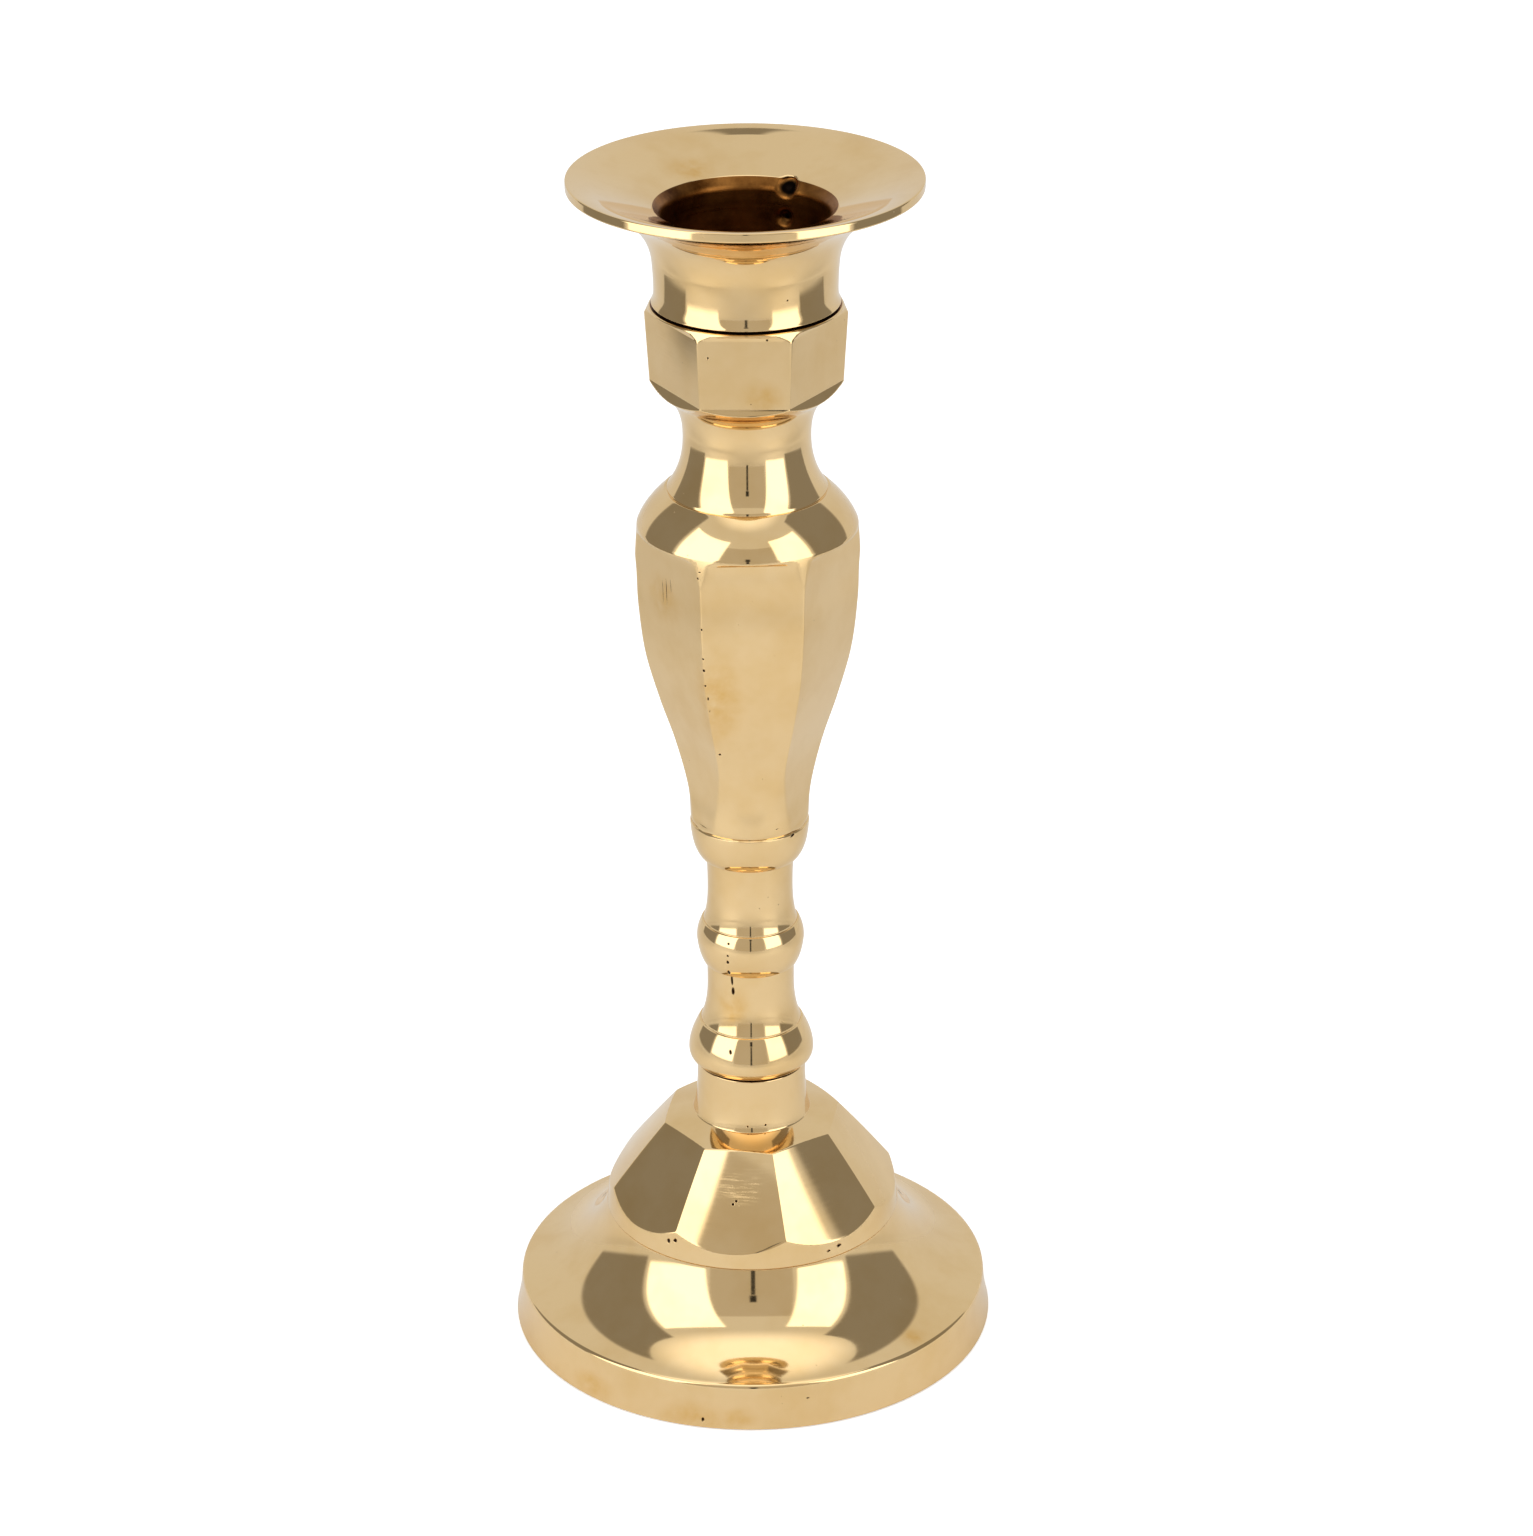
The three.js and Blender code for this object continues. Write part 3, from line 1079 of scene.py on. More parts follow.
@dataclass
class CandleCup:
    """The drip pan and candle socket, one casting with a threaded spigot under it."""

    socket_mouth: Point = (11.3, 168.9)
    socket_floor: Point = (10.95, 158.4)
    waist_radius: float = 12.46
    waist_top: float = 162.6
    waist_bottom: float = 156.6
    bottom_radius: float = 12.85
    pan_depth: float = 1.3
    thread_depth: float = 1.0
    thread_pitch: float = 1.75
    spigot: float = 6.0
    spigot_chamfer: float = 0.8
    thread_starts: float = 0.4  # below the cup's seat
    blowholes: tuple[Dent, ...] = (
        Dent(151.0, 11.8, 169.3, 1.75, 0.9),
        Dent(151.5, 11.2, 165.0, 1.3, 0.8),
    )
    piece: str = "cup_casting"

    def build(self) -> bpy.types.Object:
        """Turns the cup and fits it over its CAD node.

        Returns:
            The finished piece.
        """
        low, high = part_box("candle_cup")
        pan, top, bottom = high.x / MM, high.z / MM, low.z / MM
        spigot, chamfer = self.spigot, self.spigot_chamfer
        outline = Outline(0.0, bottom, pitch=0.3)
        outline.turn_to(Zone.BORED)
        outline.to((spigot - chamfer, bottom), pitch=1.5).to((spigot, bottom + chamfer))
        outline.to((spigot, self.waist_bottom), pitch=0.22)
        outline.to((self.bottom_radius - 0.15, self.waist_bottom), pitch=1.5)
        outline.turn_to(Zone.BUFFED)
        outline.to((self.bottom_radius, self.waist_bottom + 0.15), ease=0.05)
        outline.to((self.waist_radius, 157.3), (self.waist_radius, 158.4))
        outline.to((self.waist_radius, 160.5), (self.waist_radius + 0.2, self.waist_top))
        outline.to((13.1, 166.6), (15.6, 170.0), (pan, top - self.pan_depth))
        outline.to((pan, top), ease=0.2)
        outline.to((22.4, 173.8), (20.8, 173.25), ease=0.25)
        outline.to((12.4, 170.1))
        # From the throat down the socket takes the darker bored brass, partly painted shade of the
        # socket's depth.
        outline.turn_to(Zone.BORED)
        outline.to(self.socket_mouth, ease=0.2)
        outline.to(self.socket_floor, ease=0.5)
        outline.to((0.0, self.socket_floor[1]), ease=0.6, pitch=1.2)
        stations = outline.stations()
        thread_top = self.waist_bottom - self.thread_starts
        for station in stations:
            if station.height < thread_top and station.radius > spigot - GAP:
                station.thread = self.thread_depth
        holes = tuple(Flaw(d.azimuth, d.radius, d.height, d.size * 0.9) for d in self.blowholes)
        finishes = {Zone.BUFFED: self.brass(holes), Zone.BORED: BoredBrassWithPaintedShade(holes=holes).build()}
        lathe = Lathe(columns=220, pitch=self.thread_pitch, dents=self.blowholes)
        piece = lathe.turn(self.piece, stations, finishes)
        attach(piece, "root")
        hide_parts("candle_cup")
        return piece

    def brass(self, holes: tuple[Flaw, ...]) -> bpy.types.Material:
        """Gives the cup's own brass, with the pinholes and blowholes of its casting."""
        pits = (
            *holes,
            Flaw(-21.0, 12.9, 165.6, 0.42),
            Flaw(-10.0, 23.8, 173.5, 0.2),
            Flaw(-13.0, 23.8, 173.4, 0.22),
            Flaw(26.0, 12.5, 160.5, 0.16),
        )
        # The second stain, on the pan's top at the back near the throat, is a painted reflection in
        # darker gold.
        stains = (Flaw(8.0, 14.0, 169.0, 4.0, 0.5), Flaw(-150.0, 14.5, 171.0, 5.0, 0.4))
        return BuffedBrass("buffed_brass_of_the_cup", pits, stains, seed=1.0).build()


@dataclass
class Stem:
    """The hexagonal collar, neck, faceted baluster and beads, one casting."""

    # Corner radii of the ground flats at each height, and the round blanks as radius and height.
    collar_corners: tuple[Point, ...] = (
        (143.8, 14.25), (145.3, 13.25), (155.3, 13.85), (155.85, 14.1), (156.1, 15.3),
    )
    collar_turn: float = -1.3
    baluster_turn: float = 2.5
    baluster_blank: tuple[Point, ...] = (
        (8.34, 80.5), (8.65, 85.0), (10.1, 91.0), (12.7, 98.4), (14.7, 105.5), (15.55, 113.0),
        (15.6, 119.0),
    )
    baluster_corners: tuple[Point, ...] = (
        (79.75, 10.1), (80.05, 9.42), (82.0, 9.3), (85.0, 9.2), (91.0, 10.15), (98.4, 12.5),
        (105.5, 14.4), (113.0, 15.3), (118.0, 15.48), (121.0, 15.7), (123.7, 15.95), (124.1, 16.3),
        (124.3, 17.2),
    )
    neck_middle: float = 126.0  # below it the baluster's flats are ground, above it the collar's
    twist_bottom: float = 127.0  # the casting turns from the one set of flats to the other
    twist_height: float = 14.0
    neck_line: Point = (11.4, 129.8)
    shoulder: Point = (15.25, 124.8)
    spigot_hole: float = 6.3
    stud_hole: float = 3.3
    piece: str = "stem_casting"

    def build(self) -> bpy.types.Object:
        """Turns and grinds the stem and fits it over its CAD node.

        Returns:
            The finished piece.
        """
        low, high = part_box("stem")
        bottom, top = low.z / MM, high.z / MM
        cup_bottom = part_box("candle_cup")[0].z / MM
        stud_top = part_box("stem_stud")[1].z / MM
        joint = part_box("base")[1].z / MM + GAP
        outline = Outline(self.stud_hole, stud_top + GAP)
        outline.turn_to(Zone.BORED)
        outline.to((self.stud_hole, bottom), pitch=1.5)
        outline.to((4.7, bottom)).to((5.0, bottom + 0.3)).to((5.0, joint))
        outline.to((7.75, joint), pitch=1.0)
        outline.turn_to(Zone.BUFFED)
        self._beads(outline)
        self._baluster(outline)
        self._neck_and_collar(outline, top)
        outline.turn_to(Zone.BORED)
        outline.to((self.spigot_hole, top), ease=0.2, pitch=1.2)
        outline.to((self.spigot_hole, cup_bottom - GAP), pitch=1.0)
        outline.to((0.0, cup_bottom - GAP), pitch=1.5)
        stations = [Station(0.0, stud_top + GAP, Zone.BORED), *outline.stations()]
        for station in stations:
            self._grind(station)
        lathe = Lathe(flats=HEXAGON, columns=156, crowding=0.75, crown=0.012, softness=0.12)
        bored = BoredBrassWithPaintedShade("bored_brass_in_the_joints").build()
        finishes = {Zone.BUFFED: self.brass(), Zone.BORED: bored}
        piece = lathe.turn(self.piece, stations, finishes)
        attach(piece, "root")
        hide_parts("stem")
        return piece

    @staticmethod
    def _beads(outline: Outline) -> None:
        """Draws the two beads with the line turned over each, and the waists between them."""
        outline.to((9.0, 41.9), (9.0, 43.3), ease=0.15)
        outline.to((8.95, 45.3), (7.45, 47.9))
        outline.to((7.2, 47.95), ease=0.03, pitch=0.1).to((7.15, 48.2), ease=0.03, pitch=0.1)
        outline.to((6.6, 49.6), (6.22, 51.4), (6.22, 54.0), ease=0.05)
        outline.to((6.22, 57.3))
        outline.to((6.72, 57.45), ease=0.05)
        outline.to((7.5, 58.9), (7.68, 61.2), ease=0.08)
        outline.to((7.66, 62.6), (6.95, 63.9))
        outline.to((6.72, 63.93), ease=0.03, pitch=0.1).to((6.68, 64.15), ease=0.03, pitch=0.1)
        outline.to((6.3, 65.3), (6.07, 66.9), (6.07, 69.2), ease=0.05)
        outline.to((6.07, 71.8), (6.15, 73.0), (6.3, 74.2))
        outline.to((7.05, 74.35), ease=0.04)
        outline.to((7.95, 75.5), (8.25, 77.6), ease=0.08)

    def _baluster(self, outline: Outline) -> None:
        """Draws the round blank that the baluster's six flats are ground on."""
        outline.to((8.42, 78.7), (8.4, 79.7), ease=0.4)
        outline.to((8.2, 79.85), ease=0.05, pitch=0.1)
        outline.through(list(self.baluster_blank), ease=0.05)
        outline.to((15.52, 121.0), self.shoulder, ease=0.3, pitch=0.18)

    def _neck_and_collar(self, outline: Outline, top: float) -> None:
        """Draws the shoulder, the neck and the blank of the collar."""
        outline.to((14.3, 127.3), self.neck_line, ease=0.15, pitch=0.2)
        outline.to((11.05, 129.8), ease=0.04, pitch=0.1).to((11.02, 130.12), ease=0.04, pitch=0.1)
        outline.to((9.8, 131.7), (8.78, 134.2), (8.78, 137.4), ease=0.08)
        outline.to((8.78, 139.8), (9.2, 141.7), (10.6, 143.2))
        outline.to((13.6, 145.5), ease=0.2, pitch=0.2)
        outline.to((14.05, 154.5), ease=0.2)
        outline.to((13.1, 156.2), ease=0.15, pitch=0.15)
        outline.to((12.95, top), ease=0.08)

    def _grind(self, station: Station) -> None:
        """Sets how far the collar's and the baluster's flats reach at one ring."""
        height = station.height
        if station.zone is Zone.BORED:
            return
        share = min(max((height - self.twist_bottom) / self.twist_height, 0.0), 1.0)
        station.turn = self.baluster_turn + (self.collar_turn - self.baluster_turn) * share
        if height < self.neck_middle:
            station.corner = self._smooth(list(self.baluster_corners), height)
        else:
            station.corner = along(list(self.collar_corners), height)

    @staticmethod
    def _smooth(stops: list[Point], height: float) -> float:
        """Reads a Catmull-Rom curve through stops of height and value, and NO_FLAT outside them."""
        if height < stops[0][0] or height > stops[-1][0]:
            return NO_FLAT
        i = next(k for k in range(len(stops) - 1) if height <= stops[k + 1][0])
        a, b, c, d = stops[max(i - 1, 0)], stops[i], stops[i + 1], stops[min(i + 2, len(stops) - 1)]
        width = c[0] - b[0]
        t = (height - b[0]) / width
        rise_b = (c[1] - a[1]) / (c[0] - a[0]) * width
        rise_c = (d[1] - b[1]) / (d[0] - b[0]) * width
        return (
            b[1] * (1 - 3 * t * t + 2 * t ** 3)
            + rise_b * (t - 2 * t * t + t ** 3)
            + c[1] * (3 * t * t - 2 * t ** 3)
            + rise_c * (t ** 3 - t * t)
        )

    def brass(self) -> bpy.types.Material:
        """Gives the stem's own brass, with the mould seam's row of pits down its front left."""
        pits = (
            Flaw(-22.7, 13.2, 152.8, 0.22, 1.4),
            Flaw(-22.7, 13.2, 151.6, 0.18, 1.4),
            Flaw(-22.3, 13.15, 150.0, 0.22, 2.2),
            Flaw(12.5, 12.7, 155.4, 0.22),
            Flaw(-27.0, 12.8, 127.8, 0.2),
            Flaw(-28.0, 13.5, 126.8, 0.22),
            Flaw(-27.0, 14.6, 125.5, 0.2),
            Flaw(-26.0, 15.0, 124.0, 0.25, 0.5),
            Flaw(-25.0, 15.2, 122.9, 0.3, 0.7),
            Flaw(-26.0, 15.3, 122.0, 0.24),
            Flaw(-24.5, 15.35, 114.5, 0.22),
            Flaw(-24.5, 15.0, 110.0, 0.22),
            Flaw(-24.5, 14.85, 108.2, 0.34),
            Flaw(-24.3, 14.4, 105.8, 0.2),
            Flaw(-23.5, 13.9, 103.6, 0.16, 3.0),
            Flaw(-23.5, 13.4, 101.4, 0.17, 3.0),
            Flaw(-22.2, 10.7, 94.1, 0.26),
            Flaw(-25.0, 7.4, 63.0, 0.22),
            Flaw(-25.0, 7.68, 61.2, 0.2),
            Flaw(-25.5, 7.6, 60.1, 0.26, 1.4),
            Flaw(-26.0, 7.05, 58.3, 0.28, 2.0),
            Flaw(-25.5, 6.22, 56.6, 0.22, 4.5, -4.0),
            Flaw(-24.0, 6.22, 54.9, 0.3, 2.6),
            Flaw(-21.0, 8.35, 46.2, 0.24, 2.6, -14.0),
            Flaw(27.0, 8.15, 81.3, 0.4, 0.28, -18.0),
            Flaw(46.0, 8.3, 79.6, 0.6, 0.35, -22.0),
            Flaw(-57.5, 13.2, 117.5, 0.09, 42.0),
            Flaw(-52.5, 13.25, 118.8, 0.07, 36.0),
            Flaw(-61.5, 13.25, 116.5, 0.07, 50.0),
            Flaw(-40.0, 13.9, 116.0, 0.08, 60.0),
            Flaw(42.0, 6.9, 49.6, 0.24),
            Flaw(38.0, 6.8, 50.0, 0.2),
        )
        stains = (
            Flaw(-20.0, 13.0, 103.0, 5.0, 2.2),
            Flaw(-60.0, 14.5, 116.0, 5.5, 0.9),
            Flaw(-25.0, 6.0, 52.0, 3.5, 1.5),
            Flaw(10.0, 13.0, 147.0, 4.0, 0.8),
        )
        return BuffedBrass("buffed_brass_of_the_stem", pits, stains, seed=2.0).build()


@dataclass
class Base:
    """The hollow foot: a round dish, an eight-sided dome and a short neck, one casting."""

    dish_edge: Point = (34.05, 6.65)
    dome_ring: Point = (21.3, 18.2)
    band_top: Point = (20.6, 23.6)
    facet_top: Point = (12.0, 32.4)
    facet_bottom: Point = (20.75, 20.8)
    facet_belly: float = 0.16  # hand grinding leaves each facet a little fuller in its middle
    dome_turn: float = -9.2
    neck_radius: float = 7.8
    neck_foot: Point = (8.5, 33.3)
    foot_ring: float = 2.6
    ceiling: float = 27.5
    bore: float = 3.3
    register: float = 5.3
    piece: str = "foot_casting"

    def build(self) -> bpy.types.Object:
        """Turns and grinds the base and fits it over its CAD node.

        Returns:
            The finished piece.
        """
        low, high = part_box("base")
        foot, top = high.x / MM, high.z / MM
        ring = foot - self.foot_ring
        outline = Outline(ring, 0.0, pitch=0.4)
        outline.to((foot, 0.0), pitch=1.0)
        outline.to((34.2, 3.0), self.dish_edge, ease=0.3)
        edge_r, edge_z = self.dome_ring
        outline.to((27.5, 8.3), (23.4, 11.9), (edge_r - 0.1, edge_z - 0.2), ease=0.5)
        outline.to(self.dome_ring, ease=0.04)
        outline.to(self.band_top, ease=0.1, pitch=0.2)
        outline.to((14.2, 31.7), ease=0.5, pitch=0.2)
        outline.to(self.neck_foot, ease=0.3, pitch=0.2)
        outline.to((self.neck_radius, 35.5), (self.neck_radius, top - 1.0), ease=0.1)
        outline.to((self.neck_radius, top)).turn_to(Zone.BORED)
        outline.to((self.register, top), ease=0.15, pitch=1.0)
        outline.to((self.register, top - 2.3), pitch=1.0).to((self.bore, top - 2.3), pitch=1.0)
        outline.to((self.bore, self.ceiling), pitch=1.5)
        outline.turn_to(Zone.AS_CAST)
        outline.to((11.5, self.ceiling), ease=0.2, pitch=1.0)
        outline.to((18.4, 19.5), ease=1.2, pitch=1.0).to((18.8, 17.5), ease=0.8, pitch=1.0)
        outline.to((19.6, 9.2), (26.0, 6.2), (31.9, 4.4), ease=0.5, pitch=1.0)
        outline.to((ring, 0.0), ease=1.0, pitch=1.0)
        stations = outline.stations()
        (top_d, top_z), (low_d, low_z) = self.facet_top, self.facet_bottom
        slope = (top_d - low_d) / (top_z - low_z)
        octagon = math.cos(math.radians(OCTAGON[0].half))
        for station in stations:
            station.turn = self.dome_turn
            if station.zone is Zone.BUFFED and edge_z < station.height < self.neck_foot[1]:
                share = (station.height - low_z) / (top_z - low_z)
                belly = self.facet_belly * (1.0 - (2.0 * share - 1.0) ** 2)
                station.corner = (top_d + slope * (station.height - top_z) + belly) / octagon
        lathe = Lathe(flats=OCTAGON, columns=220, crowding=0.75, crown=0.16, softness=0.1)
        finishes = {
            Zone.BUFFED: self.brass(),
            Zone.BORED: BoredBrassWithPaintedShade("bored_brass_in_the_foot").build(),
            Zone.AS_CAST: SandCastBrass().build(),
        }
        piece = lathe.turn(self.piece, stations, finishes)
        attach(piece, "root")
        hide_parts("base")
        return piece

    def brass(self) -> bpy.types.Material:
        """Gives the base's own brass, with its cracks, pits and the stain on its front edge."""
        pits = (
            Flaw(11.0, 21.3, 15.8, 0.2, 4.5),
            Flaw(9.5, 21.5, 14.2, 0.22, 2.0),
            Flaw(36.0, 21.3, 19.6, 0.55, 0.6),
            Flaw(31.0, 21.3, 19.3, 0.42, 0.6),
            Flaw(-32.0, 20.9, 21.0, 0.4),
            Flaw(-35.0, 20.9, 20.6, 0.36, 1.3),
            Flaw(-8.0, 16.5, 26.6, 0.3, 0.7),
            Flaw(-9.5, 16.8, 26.2, 0.28, 0.9),
            Flaw(-4.0, 8.3, 34.2, 0.2),
            Flaw(14.0, 8.2, 34.3, 0.2),
            Flaw(-12.0, 34.6, 1.2, 0.3, 1.4),
            Flaw(13.0, 34.2, 4.3, 0.3, 0.4),
        )
        stains = (
            Flaw(-14.0, 34.8, 1.4, 7.0, 0.45),
            Flaw(-4.0, 34.8, 1.6, 4.0, 0.5),
            Flaw(-42.0, 34.6, 2.0, 5.0, 0.5),
            Flaw(46.0, 32.0, 7.2, 3.0, 0.5),
        )
        scuffs = (Flaw(-3.0, 15.5, 28.0, 5.2, 0.6),)
        return BuffedBrass("buffed_brass_of_the_foot", pits, stains, scuffs, seed=3.0).build()


# ------------------------------------------------------------------------------------------
# the fixing under the base
# ------------------------------------------------------------------------------------------


def spring_tree() -> bpy.types.NodeTree:
    """Builds the tree that coils a square wire once round into a split spring washer.

    Returns:
        The geometry node tree.
    """
    sizes = ("Middle Radius", "Wire Width", "Wire Height", "Bottom", "Rise", "Sweep")
    tree, given = new_geometry_tree(
        "split_spring",
        {"Seed": "Geometry", **dict.fromkeys(sizes, "Float"), "Material": "Material"},
        "Washer",
    )
    arc = add_node(
        tree, "GeometryNodeCurveArc",
        {"Resolution": 72, "Radius": given["Middle Radius"], "Sweep Angle": given["Sweep"]},
        mode="RADIUS",
    ).outputs["Curve"]
    share = add_node(tree, "GeometryNodeSplineParameter").outputs["Factor"]
    climb = add_node(
        tree, "ShaderNodeMath", {0: share, 1: given["Rise"], 2: given["Bottom"]},
        operation="MULTIPLY_ADD",
    )
    lift = add_node(tree, "ShaderNodeCombineXYZ", {2: climb.outputs[0]})
    helix = add_node(tree, "GeometryNodeSetPosition", {"Geometry": arc, "Offset": lift.outputs[0]})
    wire = add_node(
        tree, "GeometryNodeCurvePrimitiveQuadrilateral",
        {"Width": given["Wire Width"], "Height": given["Wire Height"]}, mode="RECTANGLE",
    )
    eased = add_node(
        tree, "GeometryNodeFilletCurve",
        {"Curve": wire.outputs[0], "Radius": 0.2 * MM, "Limit Radius": True},
    )
    coil = add_node(
        tree, "GeometryNodeCurveToMesh",
        {"Curve": helix.outputs[0], "Profile Curve": eased.outputs[0], "Fill Caps": True},
    )
    solid = add_node(tree, "GeometryNodeRealizeInstances", {"Geometry": coil.outputs[0]})
    dressed = add_node(
        tree, "GeometryNodeSetMaterial",
        {"Geometry": solid.outputs[0], "Material": given["Material"]},
    )
    add_node(tree, "NodeGroupOutput", {0: dressed.outputs[0]})
    return tree


@dataclass
class Fixing:
    """The stud, washers and nut that hold the three castings together."""

    thread_pitch: float = 1.0  # M6 coarse
    thread_depth: float = 0.55
    chamfer: float = 0.6
    bore: float = 3.3
    spring_rise: float = 0.2  # how far the split washer's ends stand apart
    spring_sweep: float = 348.0  # degrees of wire; the rest is the split
    nut_turn: float = 30.0  # degrees
    tap_depth: float = 0.4
    steel: bpy.types.Material = field(default_factory=lambda: ZincPlatedSteel().build())

    def build(self) -> list[bpy.types.Object]:
        """Makes the four fasteners and fits them over their CAD nodes.

        Returns:
            The finished pieces.
        """
        pieces = {
            "stem_stud": self.stud(),
            "plain_washer": self.washer(),
            "spring_washer": self.spring(),
            "hex_nut": self.nut(),
        }
        for node, piece in pieces.items():
            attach(piece, "root")
            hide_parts(node)
        return list(pieces.values())

    def _span(self, node: str) -> tuple[float, float, float]:
        """Gives a node's outer radius, bottom and top in millimetres."""
        low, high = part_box(node)
        return high.x / MM, low.z / MM, high.z / MM

    def stud(self) -> bpy.types.Object:
        """Turns the stud and cuts its thread from end to end."""
        radius, bottom, top = self._span("stem_stud")
        outline = Outline(0.0, bottom, pitch=0.12)
        outline.to((radius - self.chamfer, bottom), pitch=1.0).to((radius, bottom + self.chamfer))
        outline.to((radius, top - self.chamfer)).to((radius - self.chamfer, top))
        outline.to((0.0, top), pitch=1.0)
        stations = outline.stations()
        for station in stations:
            if station.radius > radius - self.chamfer * 0.5:
                station.thread = self.thread_depth
        lathe = Lathe(columns=48, pitch=self.thread_pitch)
        return lathe.turn("threaded_stud", stations, {Zone.BUFFED: self.steel})

    def washer(self) -> bpy.types.Object:
        """Turns the plain washer, with the rolled edge of a stamping."""
        radius, bottom, top = self._span("plain_washer")
        outline = Outline(self.bore, bottom, pitch=0.5)
        outline.to((radius, bottom), ease=0.1).to((radius, top), ease=0.1)
        outline.to((self.bore, top), ease=0.35).to((self.bore, bottom), ease=0.35)
        return Lathe(columns=96).turn("flat_washer", outline.stations(), {Zone.BUFFED: self.steel})

    def spring(self) -> bpy.types.Object:
        """Coils the split spring washer."""
        radius, bottom, top = self._span("spring_washer")
        wire_height = top - bottom - self.spring_rise
        inputs = {
            "Middle Radius": (radius + self.bore) / 2 * MM,
            "Wire Width": (radius - self.bore) * MM,
            "Wire Height": wire_height * MM,
            "Bottom": (bottom + wire_height / 2) * MM,
            "Rise": self.spring_rise * MM,
            "Sweep": math.radians(self.spring_sweep),
            "Material": self.steel,
        }
        seed = cloud_of_points("spring_seed", {"place": [0.0]})
        return grown("split_washer", seed, spring_tree(), inputs)

    def nut(self) -> bpy.types.Object:
        """Turns the nut's two chamfers, grinds its hexagon and taps its bore."""
        radius, bottom, top = self._span("hex_nut")
        bore = self.bore
        lead = self.chamfer * 0.6  # the small chamfer at each end of the bore
        outline = Outline(bore, bottom + lead, pitch=0.15)
        outline.to((bore + lead, bottom)).to((radius - 0.8, bottom), pitch=0.8)
        outline.to((radius, bottom + 0.45)).to((radius, top - 0.45), pitch=0.5)
        outline.to((radius - 0.8, top)).to((bore + lead, top), pitch=0.8)
        outline.to((bore, top - lead)).to((bore, bottom + lead))
        stations = outline.stations()
        for station in stations:
            station.turn = self.nut_turn
            if station.radius > bore + 1.0:
                station.corner = radius
            if station.radius < bore + 0.1:
                station.thread = -self.tap_depth
        lathe = Lathe(EVEN_HEXAGON, columns=96, crowding=0.5, softness=0.1, pitch=self.thread_pitch)
        return lathe.turn("fixing_nut", stations, {Zone.BUFFED: self.steel})


# ------------------------------------------------------------------------------------------
# the studio
# ------------------------------------------------------------------------------------------


@dataclass(frozen=True)
class Card:
    """A soft box, flag or dark gap that stands round the table, in degrees and millimetres."""

    name: str
    left: float
    right: float
    away: float
    low: float
    high: float
    glow: float
    warmth: float = 0.0
    soft: float = 14.0
    lean_left: float = 0.0  # degrees that the left edge has moved to the right at the top
    lean_right: float = 0.0  # the same for the right edge

    def build(self) -> bpy.types.Object:
        """Bends the card round the table and gives it its glow.

        Returns:
            The card object, hidden from the camera.
        """
        columns, rows = 24, 6
        places: list[Vector] = []
        shares: list[tuple[float, float]] = []
        for i in range(columns + 1):
            for j in range(rows + 1):
                u, v = i / columns, j / rows
                left = self.left + self.lean_left * v
                right = self.right + self.lean_right * v
                height = self.low + (self.high - self.low) * v
                places.append(on_axis(left + (right - left) * u, self.away, height) * MM)
                shares.append((u, v))
        step = rows + 1
        faces = [
            (i * step + j, i * step + j + 1, (i + 1) * step + j + 1, (i + 1) * step + j)
            for i in range(columns)
            for j in range(rows)
        ]
        mesh = bpy.data.meshes.new(self.name)
        mesh.from_pydata(places, [], faces)
        layer = mesh.uv_layers.new(name="card").data
        for loop in mesh.loops:
            layer[loop.index].uv = shares[loop.vertex_index]
        mesh.materials.append(self._glow())
        card = add_object(self.name, mesh)
        card.visible_camera = False
        return card

    def _glow(self) -> bpy.types.Material:
        """Gives the card's light, faded at its edges."""
        material = bpy.data.materials.new(self.name + "_cloth")
        material.use_nodes = True
        tree = material.node_tree
        tree.nodes.clear()
        across = add_node(tree, "ShaderNodeUVMap", uv_map="card")
        axes = add_node(tree, "ShaderNodeSeparateXYZ", {0: across.outputs[0]}).outputs
        width = math.radians(abs(self.right - self.left)) * self.away
        mask = None
        for axis, size in ((0, width), (1, self.high - self.low)):
            folded = add_node(tree, "ShaderNodeMath", {0: axes[axis], 1: 0.5}, operation="PINGPONG")
            edge = add_node(
                tree, "ShaderNodeMapRange",
                {"Value": folded.outputs[0], "From Max": self.soft / size},
                interpolation_type="SMOOTHSTEP",
            ).outputs["Result"]
            mask = edge if mask is None else add_node(
                tree, "ShaderNodeMath", {0: mask, 1: edge}, operation="MULTIPLY"
            ).outputs[0]
        colour = (1.0, 1.0 - 0.1 * self.warmth, 1.0 - 0.25 * self.warmth, 1.0)
        light = add_node(tree, "ShaderNodeEmission", {"Color": colour, "Strength": self.glow})
        clear = add_node(tree, "ShaderNodeBsdfTransparent")
        both = add_node(
            tree, "ShaderNodeMixShader", {0: mask, 1: clear.outputs[0], 2: light.outputs[0]}
        )
        add_node(tree, "ShaderNodeOutputMaterial", {"Surface": both.outputs[0]})
        return material


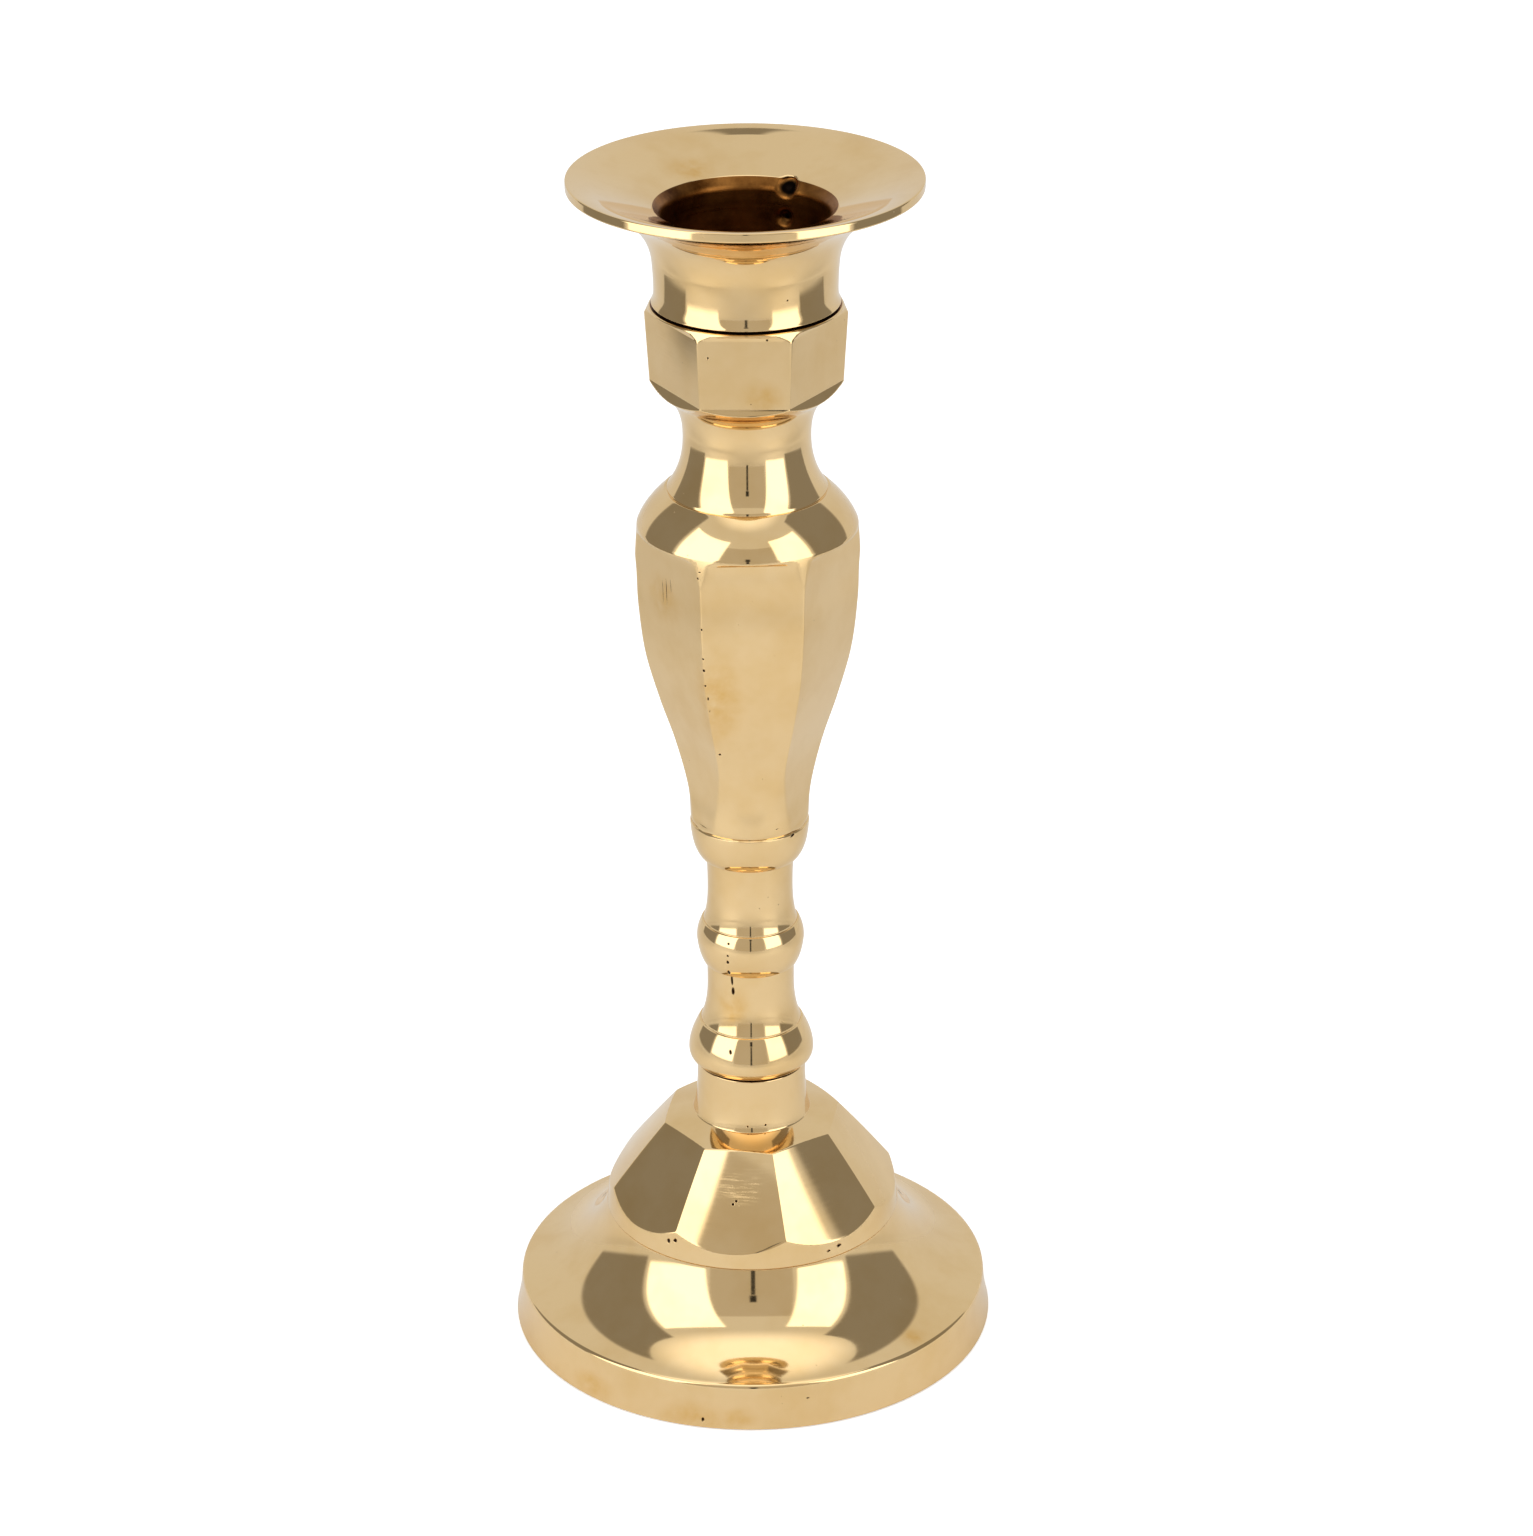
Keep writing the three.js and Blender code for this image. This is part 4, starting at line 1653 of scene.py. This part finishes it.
@dataclass
class Studio:
    """The pale table, the soft surround and the camera."""

    camera_place: tuple[float, float, float] = (0.47, -587.0, 361.65)
    pitch: float = 25.05
    yaw: float = 0.19
    roll: float = -0.308
    lens: float = 107.97
    table_radius: float = 2.5  # metres
    table_albedo: float = 0.9
    table_glow: float = 0.5  # added for the camera alone, so that the table looks white
    table_drop: float = 0.2  # mm below the foot
    sky: float = 1.4
    wall: float = 0.74
    ceiling_from: float = 0.88  # height of a direction, 0 level and 1 straight up
    ceiling_whole: float = 0.98
    cards: tuple[Card, ...] = (
        Card("flag_left", -121.0, -78.0, 290.0, 24.0, 615.0, 0.28, 0.3, 14.0, lean_left=-20.0),
        Card("flag_right", 68.0, 112.0, 290.0, 24.0, 615.0, 0.28, 0.3, 14.0, lean_right=35.0),
        Card("flag_behind", 175.5, 184.5, 344.0, 470.0, 640.0, 0.28, 0.3, 14.0),
        Card("soft_box_left", -78.0, -33.0, 300.0, 40.0, 480.0, 2.15, lean_right=12.0),
        Card("soft_box_right", 31.0, 68.0, 300.0, 40.0, 480.0, 2.15, lean_left=-5.0),
        Card("room_in_front", -32.0, 30.0, 640.0, -5.0, 715.0, 0.56, 0.4, 25.0),
        Card("camera_body", -3.2, 3.2, 600.0, 315.0, 415.0, 0.03, 0.0, 16.0),
        Card("camera_stand", -1.9, 1.9, 602.0, -5.0, 320.0, 0.06, 0.0, 8.0),
    )

    def camera(self) -> bpy.types.Object:
        """Places the camera at the height and tilt of a table-top product shot.

        Returns:
            The camera object.
        """
        yaw, pitch, roll = (math.radians(angle) for angle in (self.yaw, self.pitch, self.roll))
        level = math.cos(pitch)
        ahead = Vector((math.sin(yaw) * level, math.cos(yaw) * level, -math.sin(pitch)))
        side = ahead.cross(Vector((0.0, 0.0, 1.0))).normalized()
        upright = side.cross(ahead)
        right = side * math.cos(roll) + upright * math.sin(roll)
        up = upright * math.cos(roll) - side * math.sin(roll)
        data = bpy.data.cameras.new("camera")
        data.lens = self.lens
        data.sensor_width = 36.0
        data.clip_start = 0.01
        camera = add_object("camera", data)
        turned = Matrix((right, up, -ahead)).transposed().to_4x4()
        camera.matrix_world = Matrix.Translation(Vector(self.camera_place) * MM) @ turned
        bpy.context.scene.camera = camera
        return camera

    def surround(self) -> None:
        """Lights the set with a pale room, its bright ceiling and the cards round the table."""
        world = bpy.data.worlds.new("studio")
        bpy.context.scene.world = world
        world.use_nodes = True
        tree = world.node_tree
        tree.nodes.clear()

        ways = add_node(tree, "ShaderNodeTexCoord").outputs["Generated"]
        axes = add_node(tree, "ShaderNodeSeparateXYZ", {0: ways}).outputs
        upward = add_node(
            tree, "ShaderNodeMapRange",
            {"Value": axes[2], "From Min": self.ceiling_from, "From Max": self.ceiling_whole},
            interpolation_type="SMOOTHSTEP",
        )
        seen = add_node(tree, "ShaderNodeLightPath").outputs["Is Camera Ray"]
        colour = grey(self.wall)
        for share, other in ((upward.outputs["Result"], self.sky), (seen, 1.0)):
            colour = add_node(
                tree, "ShaderNodeMix", {0: share, 6: colour, 7: grey(other)}, data_type="RGBA"
            ).outputs[2]
        light = add_node(tree, "ShaderNodeBackground", {"Color": colour})
        add_node(tree, "ShaderNodeOutputWorld", {"Surface": light.outputs[0]})
        for card in self.cards:
            card.build()

    def table(self) -> bpy.types.Object:
        """Lays the pale table top under the candlestick.

        Returns:
            The table object.
        """
        sides = 96
        turns = [math.tau * i / sides for i in range(sides)]
        reach = self.table_radius
        rim = [(reach * math.cos(turn), reach * math.sin(turn), 0.0) for turn in turns]
        mesh = bpy.data.meshes.new("table")
        mesh.from_pydata(rim, [], [list(range(sides))])
        table = add_object("table", mesh)
        table.location.z = -self.table_drop * MM
        material = bpy.data.materials.new("white_laminate")
        material.use_nodes = True
        tree = material.node_tree
        tree.nodes.clear()
        matte = add_node(tree, "ShaderNodeBsdfDiffuse", {"Color": grey(self.table_albedo)})
        glow = add_node(
            tree, "ShaderNodeEmission", {"Color": grey(1.0), "Strength": self.table_glow}
        )
        lifted = add_node(tree, "ShaderNodeAddShader", {0: matte.outputs[0], 1: glow.outputs[0]})
        seen = add_node(tree, "ShaderNodeLightPath").outputs["Is Camera Ray"]
        both = add_node(
            tree, "ShaderNodeMixShader", {0: seen, 1: matte.outputs[0], 2: lifted.outputs[0]}
        )
        add_node(tree, "ShaderNodeOutputMaterial", {"Surface": both.outputs[0]})
        mesh.materials.append(material)
        return table


def main() -> None:
    """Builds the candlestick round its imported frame."""
    logging.basicConfig(level=logging.INFO, format="%(name)s: %(message)s")
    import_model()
    bpy.context.scene.view_settings.view_transform = "Standard"

    studio = Studio()
    studio.camera()
    studio.surround()
    studio.table()
    pieces = [CandleCup().build(), Stem().build(), Base().build(), *Fixing().build()]
    for piece in pieces:
        LOG.info("%s: %d faces", piece.name, len(piece.data.polygons))


if __name__ == "__main__":
    main()
